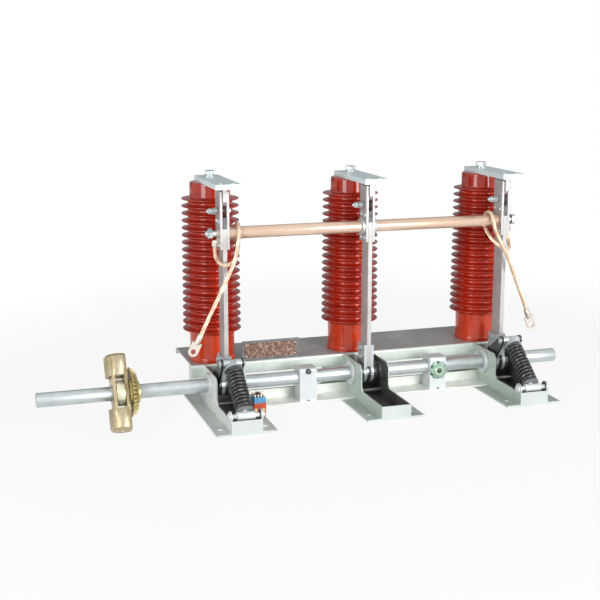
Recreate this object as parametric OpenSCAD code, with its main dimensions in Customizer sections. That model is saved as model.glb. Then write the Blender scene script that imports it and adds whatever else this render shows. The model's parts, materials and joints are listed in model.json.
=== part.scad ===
// Three-pole indoor earthing switch, closed position.
// Origin on the underside of the middle foot, below the middle insulator; X along the shaft,
// the front (the side that the blades open to) towards -Y, Z up.

/* [Poles] */
// Distance between neighbouring poles
pole_pitch = 300; // [270:5:340]
// Height of the deck's top face above the feet
deck_top = 80; // [74:1:100]

/* [Insulators] */
// Height of a post insulator
insulator_h = 365; // [320:5:400]
// Number of sheds
shed_count = 19; // [12:1:22]
// Radius over the lowest shed
shed_r = 60; // [54:0.5:64]
// Taper of the sheds and core from bottom to top, on radius
insulator_taper = 2.5; // [0:0.5:5]
// Depth of the grooves between the sheds
shed_depth = 12.5; // [6:0.5:14]
// Thickness of a shed at the core
shed_root_t = 7.4; // [5:0.2:10]
// Thickness of a shed where its rim starts to round
shed_rim_t = 3.6; // [3:0.2:6]
// Thickness of a shed at its tip
shed_tip_t = 1.6; // [1:0.2:3]
// Depth of the rounded rim
shed_rim_d = 2; // [1:0.2:4]
// Radius of the plain base
insulator_base_r = 47.5; // [42:0.5:48]
// Height of the plain base
insulator_base_h = 58; // [40:1:70]
// Radius of the plain cap
insulator_cap_r = 41; // [34:0.5:44]
// Height of the plain cap
insulator_cap_h = 26; // [18:1:40]
// Height of the ring at the foot of an insulator
insulator_ring_h = 8; // [5:0.5:12]
// Chamfer on the ring and the cap
insulator_edge = 2; // [1:0.5:3]

/* [Deck] */
// Reach of the deck beyond the outer insulator axes
deck_overhang = 55; // [50:1:90]
// Reach of the deck in front of the insulator axes
deck_front = 50; // [50:1:56]
// Reach of the deck behind the insulator axes
deck_rear = 108; // [98:1:130]
// Thickness of the deck's sheet
deck_t = 3; // [2:0.5:4]
// Depth of the front flange
front_flange_h = 25; // [16:1:30]
// Depth of the rear flange
rear_flange_h = 13; // [10:1:30]
// Outer radius of the folds
fold_r = 5; // [4:0.5:8]

/* [Feet] */
// Width over a foot's base plate
foot_w = 119; // [110:1:140]
// Reach of a foot in front of the insulator axes
foot_front = 270; // [265:1:300]
// Reach of a foot behind the insulator axes
foot_rear = 90; // [70:1:95]
// Thickness of a foot's base plate
foot_plate_t = 4; // [3:0.5:5]
// Thickness of a foot's walls
wall_t = 3; // [2:0.5:4]
// Clear distance between a foot's walls
wall_gap = 55.2; // [54:0.2:60]
// Height of the low front walls above the floor
wall_low_h = 28; // [20:1:32]
// Rise of the ramp from a low wall to its cheek
wall_ramp = 8; // [4:1:12]
// Reach of the high bearing cheeks in front of the insulator axes
cheek_front = 155; // [140:1:165]
// Chamfer on the cheeks' front corner
cheek_chamfer = 10; // [4:1:20]
// Radius of a fixing hole in a foot
foot_hole_r = 5.5; // [4:0.5:7]
// Distance from the front fixing holes to the front edge
foot_hole_front = 30; // [20:1:60]
// Distance from the rear fixing holes to the rear edge
foot_hole_rear = 25; // [15:1:60]
// Radius of the spacer bar between a foot's cheeks
spacer_r = 4; // [3:0.5:5]
// Distance of the spacer bar in front of the shaft
spacer_front = 18; // [12:1:24]
// Height of the spacer bar above the base plate
spacer_up = 13; // [8:1:14]

/* [Shaft] */
// Radius of the main shaft
shaft_r = 14; // [12:0.5:15]
// Distance of the shaft in front of the insulator axes
shaft_front = 100; // [98:1:104]
// Height of the shaft above the floor
shaft_z = 52; // [50:1:56]
// Reach of the shaft beyond the left pole
shaft_left_reach = 369; // [300:1:460]
// Reach of the shaft beyond the right pole
shaft_right_reach = 138; // [90:1:200]
// Chamfer on the shaft's ends
shaft_edge = 1.5; // [0.5:0.5:3]
// Width of a retaining-ring groove
groove_w = 2.2; // [1.2:0.1:3]
// Depth of a retaining-ring groove
groove_depth = 1; // [0.5:0.1:1.5]
// Distance from a groove to the piece that its ring holds
groove_gap = 2; // [1:0.5:4]
// Radial running clearance of shaft and pins
running_gap = 0.05; // [0.02:0.01:0.1]

/* [Bearings] */
// Wall of a bearing bush
bush_wall = 5; // [3:0.5:6]
// Flange radius of a bearing bush
bush_flange_r = 25; // [22:0.5:28]
// Thickness of a bush flange
bush_flange_t = 6; // [4:0.5:8]
// Distance of the left middle bearing from the middle pole
mid_bearing_left = 131; // [110:1:180]
// Distance of the right middle bearing from the middle pole
mid_bearing_right = 155; // [110:1:180]
// Width of a middle bearing
mid_bearing_w = 36; // [28:1:44]
// Depth of a middle bearing
mid_bearing_d = 40; // [34:1:46]
// Cover of a middle bearing above the shaft's axis
mid_bearing_cover = 22; // [18:0.5:26]
// Radius of a middle bearing's top edges
mid_bearing_round = 6; // [3:0.5:10]
// Height of the tie rail
rail_h = 23; // [16:1:30]
// Depth of the tie rail
rail_d = 52; // [48:1:60]
// Thickness of the tie rail
rail_t = 3; // [2:0.5:4]

/* [Blades] */
// Width of a blade
blade_w = 37; // [30:1:40]
// Clearance from a blade's foot to the shaft
blade_foot_gap = 0.5; // [0.2:0.1:2]
// Thickness of the fixed contact
contact_t = 8; // [6:0.5:10]
// Clearance on each side of the fixed contact
contact_gap = 0.3; // [0.2:0.05:0.5]
// Thickness of a fork plate
fork_t = 5; // [3:0.5:6]
// Depth of the fork over the fixed contact
fork_grip = 28; // [20:1:32]
// Flare at the fork's tips
fork_flare = 1.5; // [0.5:0.5:3]
// Clearance from the fork's tips to the terminal bar
tip_gap = 7; // [6:0.5:10]
// Reach of the fork plates below the cross tube's axis
fork_tail = 30; // [24:1:45]
// Room between blade and fixed contact for the fork's cross bolt
bolt_room = 22; // [18:1:26]
// Radius of the blade hub
hub_r = 22; // [20:0.5:23]
// Thickness of a hub lug
lug_t = 6; // [4:0.5:8]
// Height of the hub lugs above the shaft's axis
lug_h = 60; // [50:1:80]

/* [Cross tube] */
// Outer radius of the cross tube
tube_r = 12; // [9:0.5:13]
// Wall of the cross tube
tube_wall = 3; // [1.5:0.5:4]
// Distance of the cross tube's axis below the top of the blades
tube_drop = 33; // [26:1:40]
// Radius of the clamp rings on the middle blade
clamp_r = 17; // [15:0.5:18]
// Thickness of a clamp ring
clamp_t = 6; // [4:0.5:10]
// Radius of the end studs
stud_r = 6; // [4:0.5:7]
// Reach of an end stud beyond its pole
stud_reach = 34; // [30:1:44]
// Depth of the plug of a stud in the tube
stud_plug_l = 20; // [12:1:40]
// Corner radius of a stud's nut
stud_nut_r = 10.8; // [8:0.2:12]
// Height of a stud's nut
stud_nut_h = 8; // [5:0.5:10]

/* [Terminals] */
// Width of a terminal bar
bar_w = 50; // [40:1:60]
// Thickness of a terminal bar
bar_t = 10; // [6:0.5:12]
// Reach of a terminal bar in front of the insulator axis
bar_front = 152; // [145:1:220]
// Reach of a terminal bar behind the insulator axis
bar_rear = 32; // [25:1:38]
// Radius of a bar's hole on the insulator's axis
bar_bolt_hole_r = 6.5; // [6.3:0.1:8]
// Radius of a terminal hole
terminal_hole_r = 5.5; // [4:0.5:6]
// Distance between a bar's two terminal holes, across the bar
terminal_hole_pitch = 25; // [20:1:28]
// Distance from the terminal holes to the bar's end
terminal_hole_edge = 14; // [10:1:16]
// Radius of a terminal bolt's shank
terminal_bolt_r = 6; // [5:0.5:6]
// Distance over the flats of a terminal bolt's head
terminal_bolt_flats = 19.2; // [16:0.2:22]
// Height of a terminal bolt's head
terminal_bolt_h = 7.5; // [5:0.5:10]
// Radius of a terminal bolt's washers
terminal_washer_r = 12.6; // [10:0.2:14]
// Thickness of a terminal bolt's washers
terminal_washer_t = 4.8; // [2:0.2:6]
// Depth of the fixed contact, along the bar
contact_d = 46; // [40:1:52]
// Chamfer on the fixed contact's lower front corner
contact_lead_in = 8; // [4:1:12]

/* [Closing springs] */
// Distance of the crank pin in front of the shaft's axis
crank_front = 60; // [56:1:62]
// Height of the crank pin above the shaft's axis
crank_up = 58; // [54:1:60]
// Thickness of a crank plate
crank_t = 4; // [3:0.5:4.5]
// Clearance between the coil and a crank plate
crank_gap = 1.1; // [0.6:0.1:2]
// Radius of a crank plate's outer end
crank_end_r = 9; // [8:0.5:10]
// Distance of the lower spring pivot behind the foot's front edge
pivot_inset = 12; // [11:0.5:14]
// Height of the lower spring pivot above the floor
pivot_z = 34; // [30:1:38]
// Radius of the lower spring pivot pin
pivot_pin_r = 5; // [4:0.5:6]
// Radius of the ears round the lower spring pivot
pivot_ear_r = 11; // [9:0.5:11]
// Radius of the pivot blocks at both ends of a spring
pivot_block_r = 8; // [7:0.5:9]
// Outer radius of the coil
coil_r = 17.5; // [15:0.5:18]
// Radius of the spring wire
coil_wire_r = 2.2; // [1.6:0.1:2.4]
// Number of turns
coil_turns = 11; // [6:1:12]
// Clearance between the coil's ends and its seats
coil_end_gap = 0.2; // [0.1:0.05:0.5]
// Radius of the guide rod
guide_r = 5; // [4:0.5:6]
// Distance from the guide rod's end to the crank pin
guide_short = 10; // [8:0.5:14]
// Radial clearance of the guide rod in the upper seat
guide_gap = 0.3; // [0.1:0.05:0.5]
// Distance from the lower pivot to the coil
coil_start = 13; // [12:0.5:16]
// Distance from the coil to the crank pin
coil_end = 17; // [15:0.5:20]
// Thickness of a spring seat's plate
seat_t = 4; // [3:0.5:5]
// Radius of the upper seat's neck
seat_neck_r = 10; // [8:0.5:12]
// Clearance between the upper seat and a crank plate
seat_gap = 0.3; // [0.2:0.05:0.5]

/* [Bevel drive] */
// Distance of the drive's yoke to the left of the left pole
yoke_offset = 209.5; // [180:0.5:260]
// Width of the yoke along the shaft
yoke_w = 30; // [28:1:50]
// Depth of the yoke
yoke_d = 44; // [38:1:50]
// Half height of the yoke's frame
yoke_half_h = 38; // [36:0.5:44]
// Wall of the yoke's frame
yoke_wall = 6; // [5:0.5:8]
// Reach of the yoke's bosses from the shaft's axis
boss_reach = 75; // [66:1:90]
// Radius of a boss
boss_r = 25; // [20:0.5:26]
// Chamfer on a boss's end
boss_edge = 5; // [1:0.5:8]
// Radius of the drive bore in a boss
boss_bore_r = 10; // [8:0.5:12]
// Lean of the yoke to the back
yoke_lean = 27; // [0:1:30]
// Radius of the collar in the yoke's window
collar_r = 25; // [20:0.5:26]
// Clearance on each side of the collar
collar_gap = 1; // [0.5:0.5:2]
// Tip radius of the bevel wheel
wheel_r = 49; // [44:0.5:54]
// Width of the bevel wheel
wheel_w = 11; // [8:0.5:22]
// Difference between the wheel's large and small tip radius
wheel_slope = 8; // [4:0.5:12]
// Number of teeth on the bevel wheel
wheel_teeth = 36; // [24:1:40]
// Depth of a tooth
tooth_h = 5; // [3:0.5:6]
// Half width of a tooth gap at the tips
tooth_gap_half = 2.5; // [1.5:0.1:2.8]
// Clearance between wheel and yoke
wheel_gap = 2; // [1:0.5:4]
// Width of the wheel's hub step
wheel_step_w = 3; // [2:0.5:8]
// Radius of the wheel's hub step
wheel_step_r = 26; // [22:0.5:28]
// Width of the wheel's washer
washer_w = 6; // [2:0.5:8]
// Radius of the wheel's washer
washer_r = 22; // [17:0.5:26]

/* [Rating plate and small parts] */
// Width of the rating plate's bracket
plate_w = 122; // [100:1:140]
// Height of the rating plate's bracket
plate_h = 41; // [30:1:50]
// Distance of the bracket's middle to the right of the left pole
plate_offset = 112; // [110:1:122]
// Thickness of the bracket's sheet
plate_t = 2; // [1:0.5:3]
// Depth of the bracket's leg on the deck
plate_leg = 16; // [12:1:24]
// Border of the bracket round the rating plate
plate_border = 5; // [3:0.5:10]
// Thickness of the rating plate
plate_face_t = 1; // [0.5:0.1:1.5]
// Width of the auxiliary switch
aux_w = 24; // [18:1:26]
// Depth of the auxiliary switch
aux_d = 30; // [24:1:36]
// Height of the auxiliary switch
aux_h = 18; // [14:1:44]
// Height of the terminal strip under the auxiliary switch
aux_strip_h = 34; // [12:1:40]
// Distance of the auxiliary switch's front in front of the insulator axes
aux_front = 205; // [190:1:220]
// Gap between the auxiliary switch and the foot's wall
aux_gap = 1; // [0.5:0.5:3]
// Wall round the auxiliary switch's recess
aux_lip = 3; // [2:0.5:4]

/* [Earth leads] */
// Radius of an earth lead
lead_r = 3.75; // [3:0.25:4]
// Outer radius of a lug's barrel
lug_barrel_r = 5.5; // [5:0.25:7]
// Length of a free lug's barrel
lug_barrel_l = 20; // [16:1:28]
// Length of an eye's barrel
eye_barrel_l = 12; // [8:1:20]
// Radius of a lug's palm
lug_palm_r = 10; // [8:0.5:12]
// Distance from a free lug's barrel to its hole
lug_palm_l = 16; // [12:1:24]
// Thickness of a lug's palm
lug_palm_t = 3; // [2:0.5:4]
// Radius of the hole in a free lug
lug_hole_r = 5.2; // [4:0.1:6]

/* [Hidden] */

$fn = 96;
// Overshoot of a cutter past the face that it cuts
cut = 1;
pole_left = -pole_pitch;
pole_right = pole_pitch;
poles = [pole_left, 0, pole_right];

deck_length = 2 * (pole_pitch + deck_overhang);
deck_under = deck_top - deck_t;
shaft_y = -shaft_front;
shaft_x0 = pole_left - shaft_left_reach;
shaft_x1 = pole_right + shaft_right_reach;
yoke_x = pole_left - yoke_offset;

// Heights at the top of a pole
insulator_top = deck_top + insulator_h;
fork_top = insulator_top - tip_gap;
contact_bottom = fork_top - fork_grip;
blade_top = contact_bottom - bolt_room;
tube_z = blade_top - tube_drop;
fork_bottom = tube_z - fork_tail;
shed_pitch = (insulator_h - insulator_base_h - insulator_cap_h) / shed_count;

// Widths along the shaft at a pole
blade_t = contact_t + 2 * contact_gap;
fork_outer = blade_t / 2 + fork_t;
wall_inner = wall_gap / 2;
wall_outer = wall_inner + wall_t;
crank_inner = coil_r + crank_gap;
hub_half = crank_inner + crank_t;
bush_r = shaft_r + running_gap + bush_wall;

// Closing spring: lower pivot, crank pin and the line between them in the YZ plane
pivot_y = -foot_front + pivot_inset;
crank_y = shaft_y - crank_front;
crank_z = shaft_z + crank_up;
spring_l = norm([crank_y - pivot_y, crank_z - pivot_z]);
spring_tilt = atan2(crank_z - pivot_z, crank_y - pivot_y);
crank_r = norm([crank_front, crank_up]);
crank_angle = atan2(crank_up, -crank_front);
coil_l = spring_l - coil_start - coil_end;

// Earth lead routes from the eye to the free lug, measured from the stud's axis at the outer pole
lead_points_left = [
    [-16, 0, -25], [-16, 0, -35], [-15.5, -6, -46], [-12, -17, -54], [-4.5, -26, -58],
    [4, -29, -57], [13, -27, -53], [21, -20, -45], [27, -9, -35], [30, 3, -24],
    [31, 13, -14], [31, 17.5, -4], [30.5, 16, 7], [30, 9, 15], [29.5, -1, 18],
    [29, -11, 15], [28, -18, 6], [27, -21, -5], [25, -24, -17], [21.5, -28, -30],
    [17, -32, -44], [11, -35, -58], [0, -37, -80], [-12.5, -37, -105],
    [-25, -37, -130], [-37.5, -37, -155], [-47.5, -37, -175], [-55, -37, -190]];
lead_points_right = [
    [16, 0, -25], [16, 0, -35], [15.5, -6, -46], [12, -17, -54], [4.5, -26, -58],
    [-4, -29, -57], [-13, -27, -53], [-21, -20, -45], [-27, -9, -35], [-30, 3, -24],
    [-31, 13, -14], [-31, 17.5, -4], [-30.5, 16, 7], [-30, 9, 15], [-29.5, -1, 18],
    [-29, -11, 15], [-28, -18, 6], [-27, -21, -5], [-24.5, -24, -17], [-20, -28, -30],
    [-14, -32, -44], [-8, -35, -58], [1, -37, -78], [11.5, -37, -103],
    [22, -37, -128], [32.5, -37, -153], [41, -37, -173], [47, -37, -188]];
lead_route_left = [for (p = lead_points_left) p + [pole_left, shaft_y, tube_z]];
lead_route_right = [for (p = lead_points_right) p + [pole_right, shaft_y, tube_z]];

// Helpers

// Round bar along X between two places
module bar_x(x0, x1, r) {
    translate([x0, 0, 0]) rotate([0, 90, 0]) cylinder(r = r, h = x1 - x0);
}

// Flat shape in the YZ plane, extruded along X
module plate_x(x0, x1) {
    translate([x0, 0, 0]) rotate([90, 0, 90]) linear_extrude(x1 - x0) children();
}

// Children on the right of the middle plane, and mirrored on the left
module both_sides() {
    children();
    mirror([1, 0, 0]) children();
}

// Link outline between two circles on the first axis
module link_outline(r0, r1, length) {
    lean = asin((r0 - r1) / length);
    circle(r = r0);
    translate([length, 0]) circle(r = r1);
    polygon([[r0 * sin(lean), r0 * cos(lean)], [length + r1 * sin(lean), r1 * cos(lean)],
             [length + r1 * sin(lean), -r1 * cos(lean)], [r0 * sin(lean), -r0 * cos(lean)]]);
}

// Quarter ring of a folded sheet, centred on the fold
module fold_outline(outer, wall) {
    intersection() {
        difference() {
            circle(r = outer);
            circle(r = outer - wall);
        }
        square(outer);
    }
}

// Place children in a spring's own frame: first axis from the pivot to the crank pin
module at_spring(pole) {
    translate([pole, pivot_y, pivot_z]) rotate([0, 0, 90]) rotate([0, -spring_tilt, 0]) children();
}

// Round bar along a spring's axis between two places
module spring_bar(from, to, r) {
    translate([from, 0, 0]) rotate([0, 90, 0]) cylinder(r = r, h = to - from);
}

// Unit vector
function unit(v) = v / norm(v);

// Direction of a route at one of its points
function heading(route, i) =
    unit(route[min(i + 1, len(route) - 1)] - route[max(i - 1, 0)]);

// Side vectors carried along a route without twist
function sides(route) =
    [for (i = 0, s = unit(cross(heading(route, 0), [0, 1, 0.2]));
          i < len(route);
          i = i + 1,
          s = i < len(route) ? unit(s - (s * heading(route, i)) * heading(route, i)) : s) s];

// Round tube swept along a route
module swept_tube(route, r, corners) {
    side = sides(route);
    rings = [for (i = [0 : len(route) - 1])
        let (across = side[i], other = cross(heading(route, i), side[i]))
        for (k = [0 : corners - 1])
            route[i] + r * (cos(360 * k / corners) * across + sin(360 * k / corners) * other)];
    last = len(route) - 1;
    polyhedron(
        points = rings,
        faces = concat(
            [[for (k = [0 : corners - 1]) k]],
            [for (i = [0 : last - 1]) for (k = [0 : corners - 1])
                [i * corners + k, (i + 1) * corners + k,
                 (i + 1) * corners + (k + 1) % corners, i * corners + (k + 1) % corners]],
            [[for (k = [corners - 1 : -1 : 0]) last * corners + k]]));
}

// Base

// Folded sheet that carries the insulators
module deck() {
    color("silver") plate_x(-deck_length / 2, deck_length / 2) {
        translate([-deck_front + fold_r, deck_under])
            square([deck_front + deck_rear - 2 * fold_r, deck_t]);
        translate([-deck_front, deck_top - front_flange_h])
            square([deck_t, front_flange_h - fold_r]);
        translate([deck_rear - deck_t, deck_top - rear_flange_h])
            square([deck_t, rear_flange_h - fold_r]);
        translate([-deck_front + fold_r, deck_top - fold_r])
            mirror([1, 0]) fold_outline(fold_r, deck_t);
        translate([deck_rear - fold_r, deck_top - fold_r]) fold_outline(fold_r, deck_t);
    }
}

// Outline of one wall: low at the front, high at the bearing, then under the deck
module wall_outline() {
    flange_foot = deck_top - front_flange_h;
    polygon([[-foot_front, foot_plate_t], [-foot_front, wall_low_h],
             [-cheek_front - wall_ramp, wall_low_h], [-cheek_front, wall_low_h + wall_ramp],
             [-cheek_front, deck_top - cheek_chamfer], [-cheek_front + cheek_chamfer, deck_top],
             [-deck_front, deck_top], [-deck_front, flange_foot],
             [-deck_front + deck_t, flange_foot], [-deck_front + deck_t, deck_under - fold_r],
             [-deck_front + fold_r, deck_under], [foot_rear, deck_under],
             [foot_rear, foot_plate_t]]);
}

// Welded foot: base plate, two walls with bearing cheeks, front plate and spacer bar
module foot(pole, sprung) {
    color("lightgray") translate([pole, 0, 0]) {
        difference() {
            translate([-foot_w / 2, -foot_front, 0])
                cube([foot_w, foot_front + foot_rear, foot_plate_t]);
            for (side = [-1, 1])
                for (y = [-foot_front + foot_hole_front, foot_rear - foot_hole_rear])
                    translate([side * (foot_w / 2 + wall_outer) / 2, y, -cut])
                        cylinder(r = foot_hole_r, h = foot_plate_t + 2 * cut);
        }
        for (x0 = [-wall_outer, wall_inner])
            plate_x(x0, x0 + wall_t) difference() {
                union() {
                    wall_outline();
                    if (sprung) translate([pivot_y, pivot_z]) circle(r = pivot_ear_r);
                }
                translate([shaft_y, shaft_z]) circle(r = bush_r + running_gap);
                if (sprung) translate([pivot_y, pivot_z]) circle(r = pivot_pin_r + running_gap);
            }
        translate([-wall_inner, -foot_front, foot_plate_t])
            cube([wall_gap, wall_t, wall_low_h - foot_plate_t]);
        translate([0, shaft_y - spacer_front, foot_plate_t + spacer_up])
            bar_x(-wall_inner, wall_inner, spacer_r);
    }
}

module foot_left() { foot(pole_left, true); }
module foot_middle() { foot(0, false); }
module foot_right() { foot(pole_right, true); }

// Angle rails on the feet's flanges, one between each two poles
module tie_rails() {
    rail_rear = shaft_y + rail_d / 2;
    color("gainsboro") both_sides() plate_x(wall_outer, pole_pitch - wall_outer) {
        translate([rail_rear - rail_d, foot_plate_t]) square([rail_d, rail_t]);
        translate([rail_rear - rail_t, foot_plate_t]) square([rail_t, rail_h]);
    }
}

// Flanged bushes on the outer faces of the cheeks
module shaft_bushes() {
    color("darkgray") for (pole = poles)
        translate([pole, shaft_y, shaft_z]) both_sides() difference() {
            union() {
                bar_x(wall_inner, wall_outer, bush_r);
                bar_x(wall_outer, wall_outer + bush_flange_t, bush_flange_r);
            }
            bar_x(wall_inner - cut, wall_outer + bush_flange_t + cut, shaft_r + running_gap);
        }
}

// Outline of a pedestal bearing with rounded top edges
module mid_bearing_outline() {
    half = mid_bearing_d / 2;
    round_z = shaft_z + mid_bearing_cover - mid_bearing_round;
    seat_z = foot_plate_t + rail_t;
    difference() {
        union() {
            translate([shaft_y - half, seat_z]) square([mid_bearing_d, round_z - seat_z]);
            translate([shaft_y - half + mid_bearing_round, seat_z])
                square([mid_bearing_d - 2 * mid_bearing_round, shaft_z + mid_bearing_cover - seat_z]);
            for (y = [-half + mid_bearing_round, half - mid_bearing_round])
                translate([shaft_y + y, round_z]) circle(r = mid_bearing_round);
        }
        translate([shaft_y, shaft_z]) circle(r = shaft_r + running_gap);
    }
}

// Pedestal bearings on the tie rails
module mid_bearings() {
    color("gainsboro") for (x = [-mid_bearing_left, mid_bearing_right])
        plate_x(x - mid_bearing_w / 2, x + mid_bearing_w / 2) mid_bearing_outline();
}

// Insulators

// One shed: a disc that widens to the core, with a rounded rim
function shed_profile(z) =
    let (tip = shed_r - insulator_taper * z / insulator_h, core = tip - shed_depth)
    [[core, z - shed_root_t / 2], [tip - shed_rim_d, z - shed_rim_t / 2], [tip, z - shed_tip_t / 2],
     [tip, z + shed_tip_t / 2], [tip - shed_rim_d, z + shed_rim_t / 2], [core, z + shed_root_t / 2]];

// Cast post insulator with a foot ring and a plain cap
module insulator(pole) {
    ring_r = insulator_base_r - insulator_edge;
    cap_z = insulator_h - insulator_cap_h;
    profile = concat(
        [[0, 0], [insulator_base_r, 0], [insulator_base_r, insulator_ring_h],
         [ring_r, insulator_ring_h + insulator_edge], [ring_r, insulator_base_h]],
        [for (i = [0 : shed_count - 1])
            for (p = shed_profile(insulator_base_h + (i + 0.5) * shed_pitch)) p],
        [[insulator_cap_r, cap_z + insulator_edge], [insulator_cap_r, insulator_h - insulator_edge],
         [insulator_cap_r - insulator_edge, insulator_h], [0, insulator_h]]);
    color("firebrick") translate([pole, 0, deck_top]) rotate_extrude() polygon(profile);
}

module insulator_left() { insulator(pole_left); }
module insulator_middle() { insulator(0); }
module insulator_right() { insulator(pole_right); }

// Terminals

// Flat bar on an insulator, with a bolt hole on the axis and two holes at the front end
module terminal_bar(pole) {
    color("lightsteelblue") translate([pole, 0, insulator_top]) difference() {
        translate([-bar_w / 2, -bar_front, 0]) cube([bar_w, bar_front + bar_rear, bar_t]);
        translate([0, 0, -cut]) cylinder(r = bar_bolt_hole_r, h = bar_t + 2 * cut);
        for (side = [-1, 1])
            translate([side * terminal_hole_pitch / 2, -bar_front + terminal_hole_edge, -cut])
                cylinder(r = terminal_hole_r, h = bar_t + 2 * cut);
    }
}

module terminal_bar_left() { terminal_bar(pole_left); }
module terminal_bar_middle() { terminal_bar(0); }
module terminal_bar_right() { terminal_bar(pole_right); }

// Bolts that hold the bars on the insulators
module terminal_bolts() {
    color("silver") for (pole = poles)
        translate([pole, 0, insulator_top]) {
            cylinder(r = terminal_bolt_r, h = bar_t);
            translate([0, 0, bar_t]) cylinder(r = terminal_washer_r, h = terminal_washer_t);
            translate([0, 0, bar_t + terminal_washer_t])
                cylinder(r = terminal_bolt_flats / sqrt(3), h = terminal_bolt_h, $fn = 6);
        }
}

// Fixed contacts under the bars: plates that the forks grip, with a chamfered front corner
module fixed_contacts() {
    front = shaft_y - contact_d / 2;
    rear = shaft_y + contact_d / 2;
    color("lightsteelblue") for (pole = poles)
        plate_x(pole - contact_t / 2, pole + contact_t / 2)
            polygon([[front, insulator_top], [front, contact_bottom + contact_lead_in],
                     [front + contact_lead_in, contact_bottom], [rear, contact_bottom],
                     [rear, insulator_top]]);
}

// Shaft and blades

// Round shaft with a retaining-ring groove beside the yoke and beside the right foot
module main_shaft() {
    length = shaft_x1 - shaft_x0;
    left_groove = yoke_x - yoke_w / 2 - groove_gap - groove_w - shaft_x0;
    right_groove = pole_right + wall_outer + bush_flange_t + groove_gap - shaft_x0;
    grooves = [for (g = [left_groove, right_groove])
        each [[shaft_r, g], [shaft_r - groove_depth, g],
              [shaft_r - groove_depth, g + groove_w], [shaft_r, g + groove_w]]];
    color("lightgray") translate([shaft_x0, shaft_y, shaft_z]) rotate([0, 90, 0])
        rotate_extrude() polygon(concat(
            [[0, 0], [shaft_r - shaft_edge, 0], [shaft_r, shaft_edge]],
            grooves,
            [[shaft_r, length - shaft_edge], [shaft_r - shaft_edge, length], [0, length]]));
}

// Hub clamped on the shaft, with two lugs for the blade and two cranks where a spring works
module hub(pole, sprung) {
    color("darkgray") translate([pole, shaft_y, shaft_z]) difference() {
        union() {
            bar_x(-hub_half, hub_half, hub_r);
            both_sides() plate_x(blade_t / 2, blade_t / 2 + lug_t)
                translate([-blade_w / 2, 0]) square([blade_w, lug_h]);
            if (sprung)
                both_sides() plate_x(crank_inner, hub_half)
                    rotate(crank_angle) link_outline(hub_r, crank_end_r, crank_r);
        }
        bar_x(-hub_half - cut, hub_half + cut, shaft_r + running_gap);
        translate([-blade_t / 2, -hub_r, 0]) cube([blade_t, 2 * hub_r, hub_r + cut]);
    }
}

module hub_left() { hub(pole_left, true); }
module hub_middle() { hub(0, false); }
module hub_right() { hub(pole_right, true); }

// Flat blade from the hub up to the fork
module blade(pole, bore_r) {
    blade_foot = shaft_z + shaft_r + blade_foot_gap;
    color("gainsboro") plate_x(pole - blade_t / 2, pole + blade_t / 2) difference() {
        translate([shaft_y - blade_w / 2, blade_foot]) square([blade_w, blade_top - blade_foot]);
        translate([shaft_y, tube_z]) circle(r = bore_r);
    }
}

module blade_left() { blade(pole_left, stud_r + running_gap); }
module blade_middle() { blade(0, tube_r + running_gap); }
module blade_right() { blade(pole_right, stud_r + running_gap); }

// Two fork plates that grip the fixed contact, with flared tips
module fork(pole, bore_r) {
    color("lightsteelblue") translate([pole, shaft_y, 0]) both_sides() difference() {
        rotate([90, 0, 0]) linear_extrude(blade_w, center = true)
            polygon([[blade_t / 2, fork_bottom], [fork_outer, fork_bottom],
                     [fork_outer, fork_top], [blade_t / 2 + fork_flare, fork_top],
                     [blade_t / 2, fork_top - 2 * fork_flare]]);
        translate([0, 0, tube_z]) bar_x(0, fork_outer + cut, bore_r);
    }
}

module fork_left() { fork(pole_left, stud_r + running_gap); }
module fork_middle() { fork(0, tube_r + running_gap); }
module fork_right() { fork(pole_right, stud_r + running_gap); }

// Copper tube that joins the three blades, through the middle one
module cross_tube() {
    reach = pole_pitch - fork_outer;
    color("peru") translate([0, shaft_y, tube_z]) difference() {
        bar_x(-reach, reach, tube_r);
        bar_x(-reach - cut, reach + cut, tube_r - tube_wall);
    }
}

// Rings that hold the tube to the middle blade
module tube_clamp_rings() {
    color("whitesmoke") translate([0, shaft_y, tube_z]) both_sides() difference() {
        bar_x(fork_outer, fork_outer + clamp_t, clamp_r);
        bar_x(fork_outer - cut, fork_outer + clamp_t + cut, tube_r + running_gap);
    }
}

// Studs through the outer blades, plugged into the tube's ends, with a hexagon nut
module tube_studs() {
    plug_x = pole_pitch - fork_outer;
    nut_x = pole_pitch + fork_outer + lug_palm_t;
    color("silver") translate([0, shaft_y, tube_z]) both_sides() {
        bar_x(plug_x, pole_pitch + stud_reach, stud_r);
        bar_x(plug_x - stud_plug_l, plug_x, tube_r - tube_wall - running_gap);
        translate([nut_x, 0, 0]) rotate([0, 90, 0]) cylinder(r = stud_nut_r, h = stud_nut_h, $fn = 6);
    }
}

// Closing springs

// Guide rod with its pivot block and lower seat, in the spring's frame
module guide(pole) {
    color("gray") at_spring(pole) difference() {
        union() {
            rotate([90, 0, 0]) cylinder(r = pivot_block_r, h = 2 * coil_r, center = true);
            spring_bar(0, spring_l - guide_short, guide_r);
            spring_bar(coil_start - seat_t, coil_start, coil_r);
        }
        rotate([90, 0, 0])
            cylinder(r = pivot_pin_r + running_gap, h = 2 * (coil_r + cut), center = true);
    }
}

module guide_left() { guide(pole_left); }
module guide_right() { guide(pole_right); }

// Pins of the lower spring pivots, through the walls of the outer feet
module spring_pivot_pins() {
    color("silver") for (pole = [pole_left, pole_right])
        translate([pole, pivot_y, pivot_z]) bar_x(-wall_outer, wall_outer, pivot_pin_r);
}

// Helix of the spring wire between its seats
module spring(pole) {
    steps = 14;
    turn_r = coil_r - coil_wire_r;
    start = coil_start + coil_end_gap + coil_wire_r;
    travel = coil_l - 2 * (coil_end_gap + coil_wire_r);
    helix = [for (i = [0 : coil_turns * steps])
        [start + travel * i / (coil_turns * steps),
         turn_r * cos(360 * i / steps), turn_r * sin(360 * i / steps)]];
    color("dimgray") at_spring(pole) swept_tube(helix, coil_wire_r, 8);
}

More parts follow.
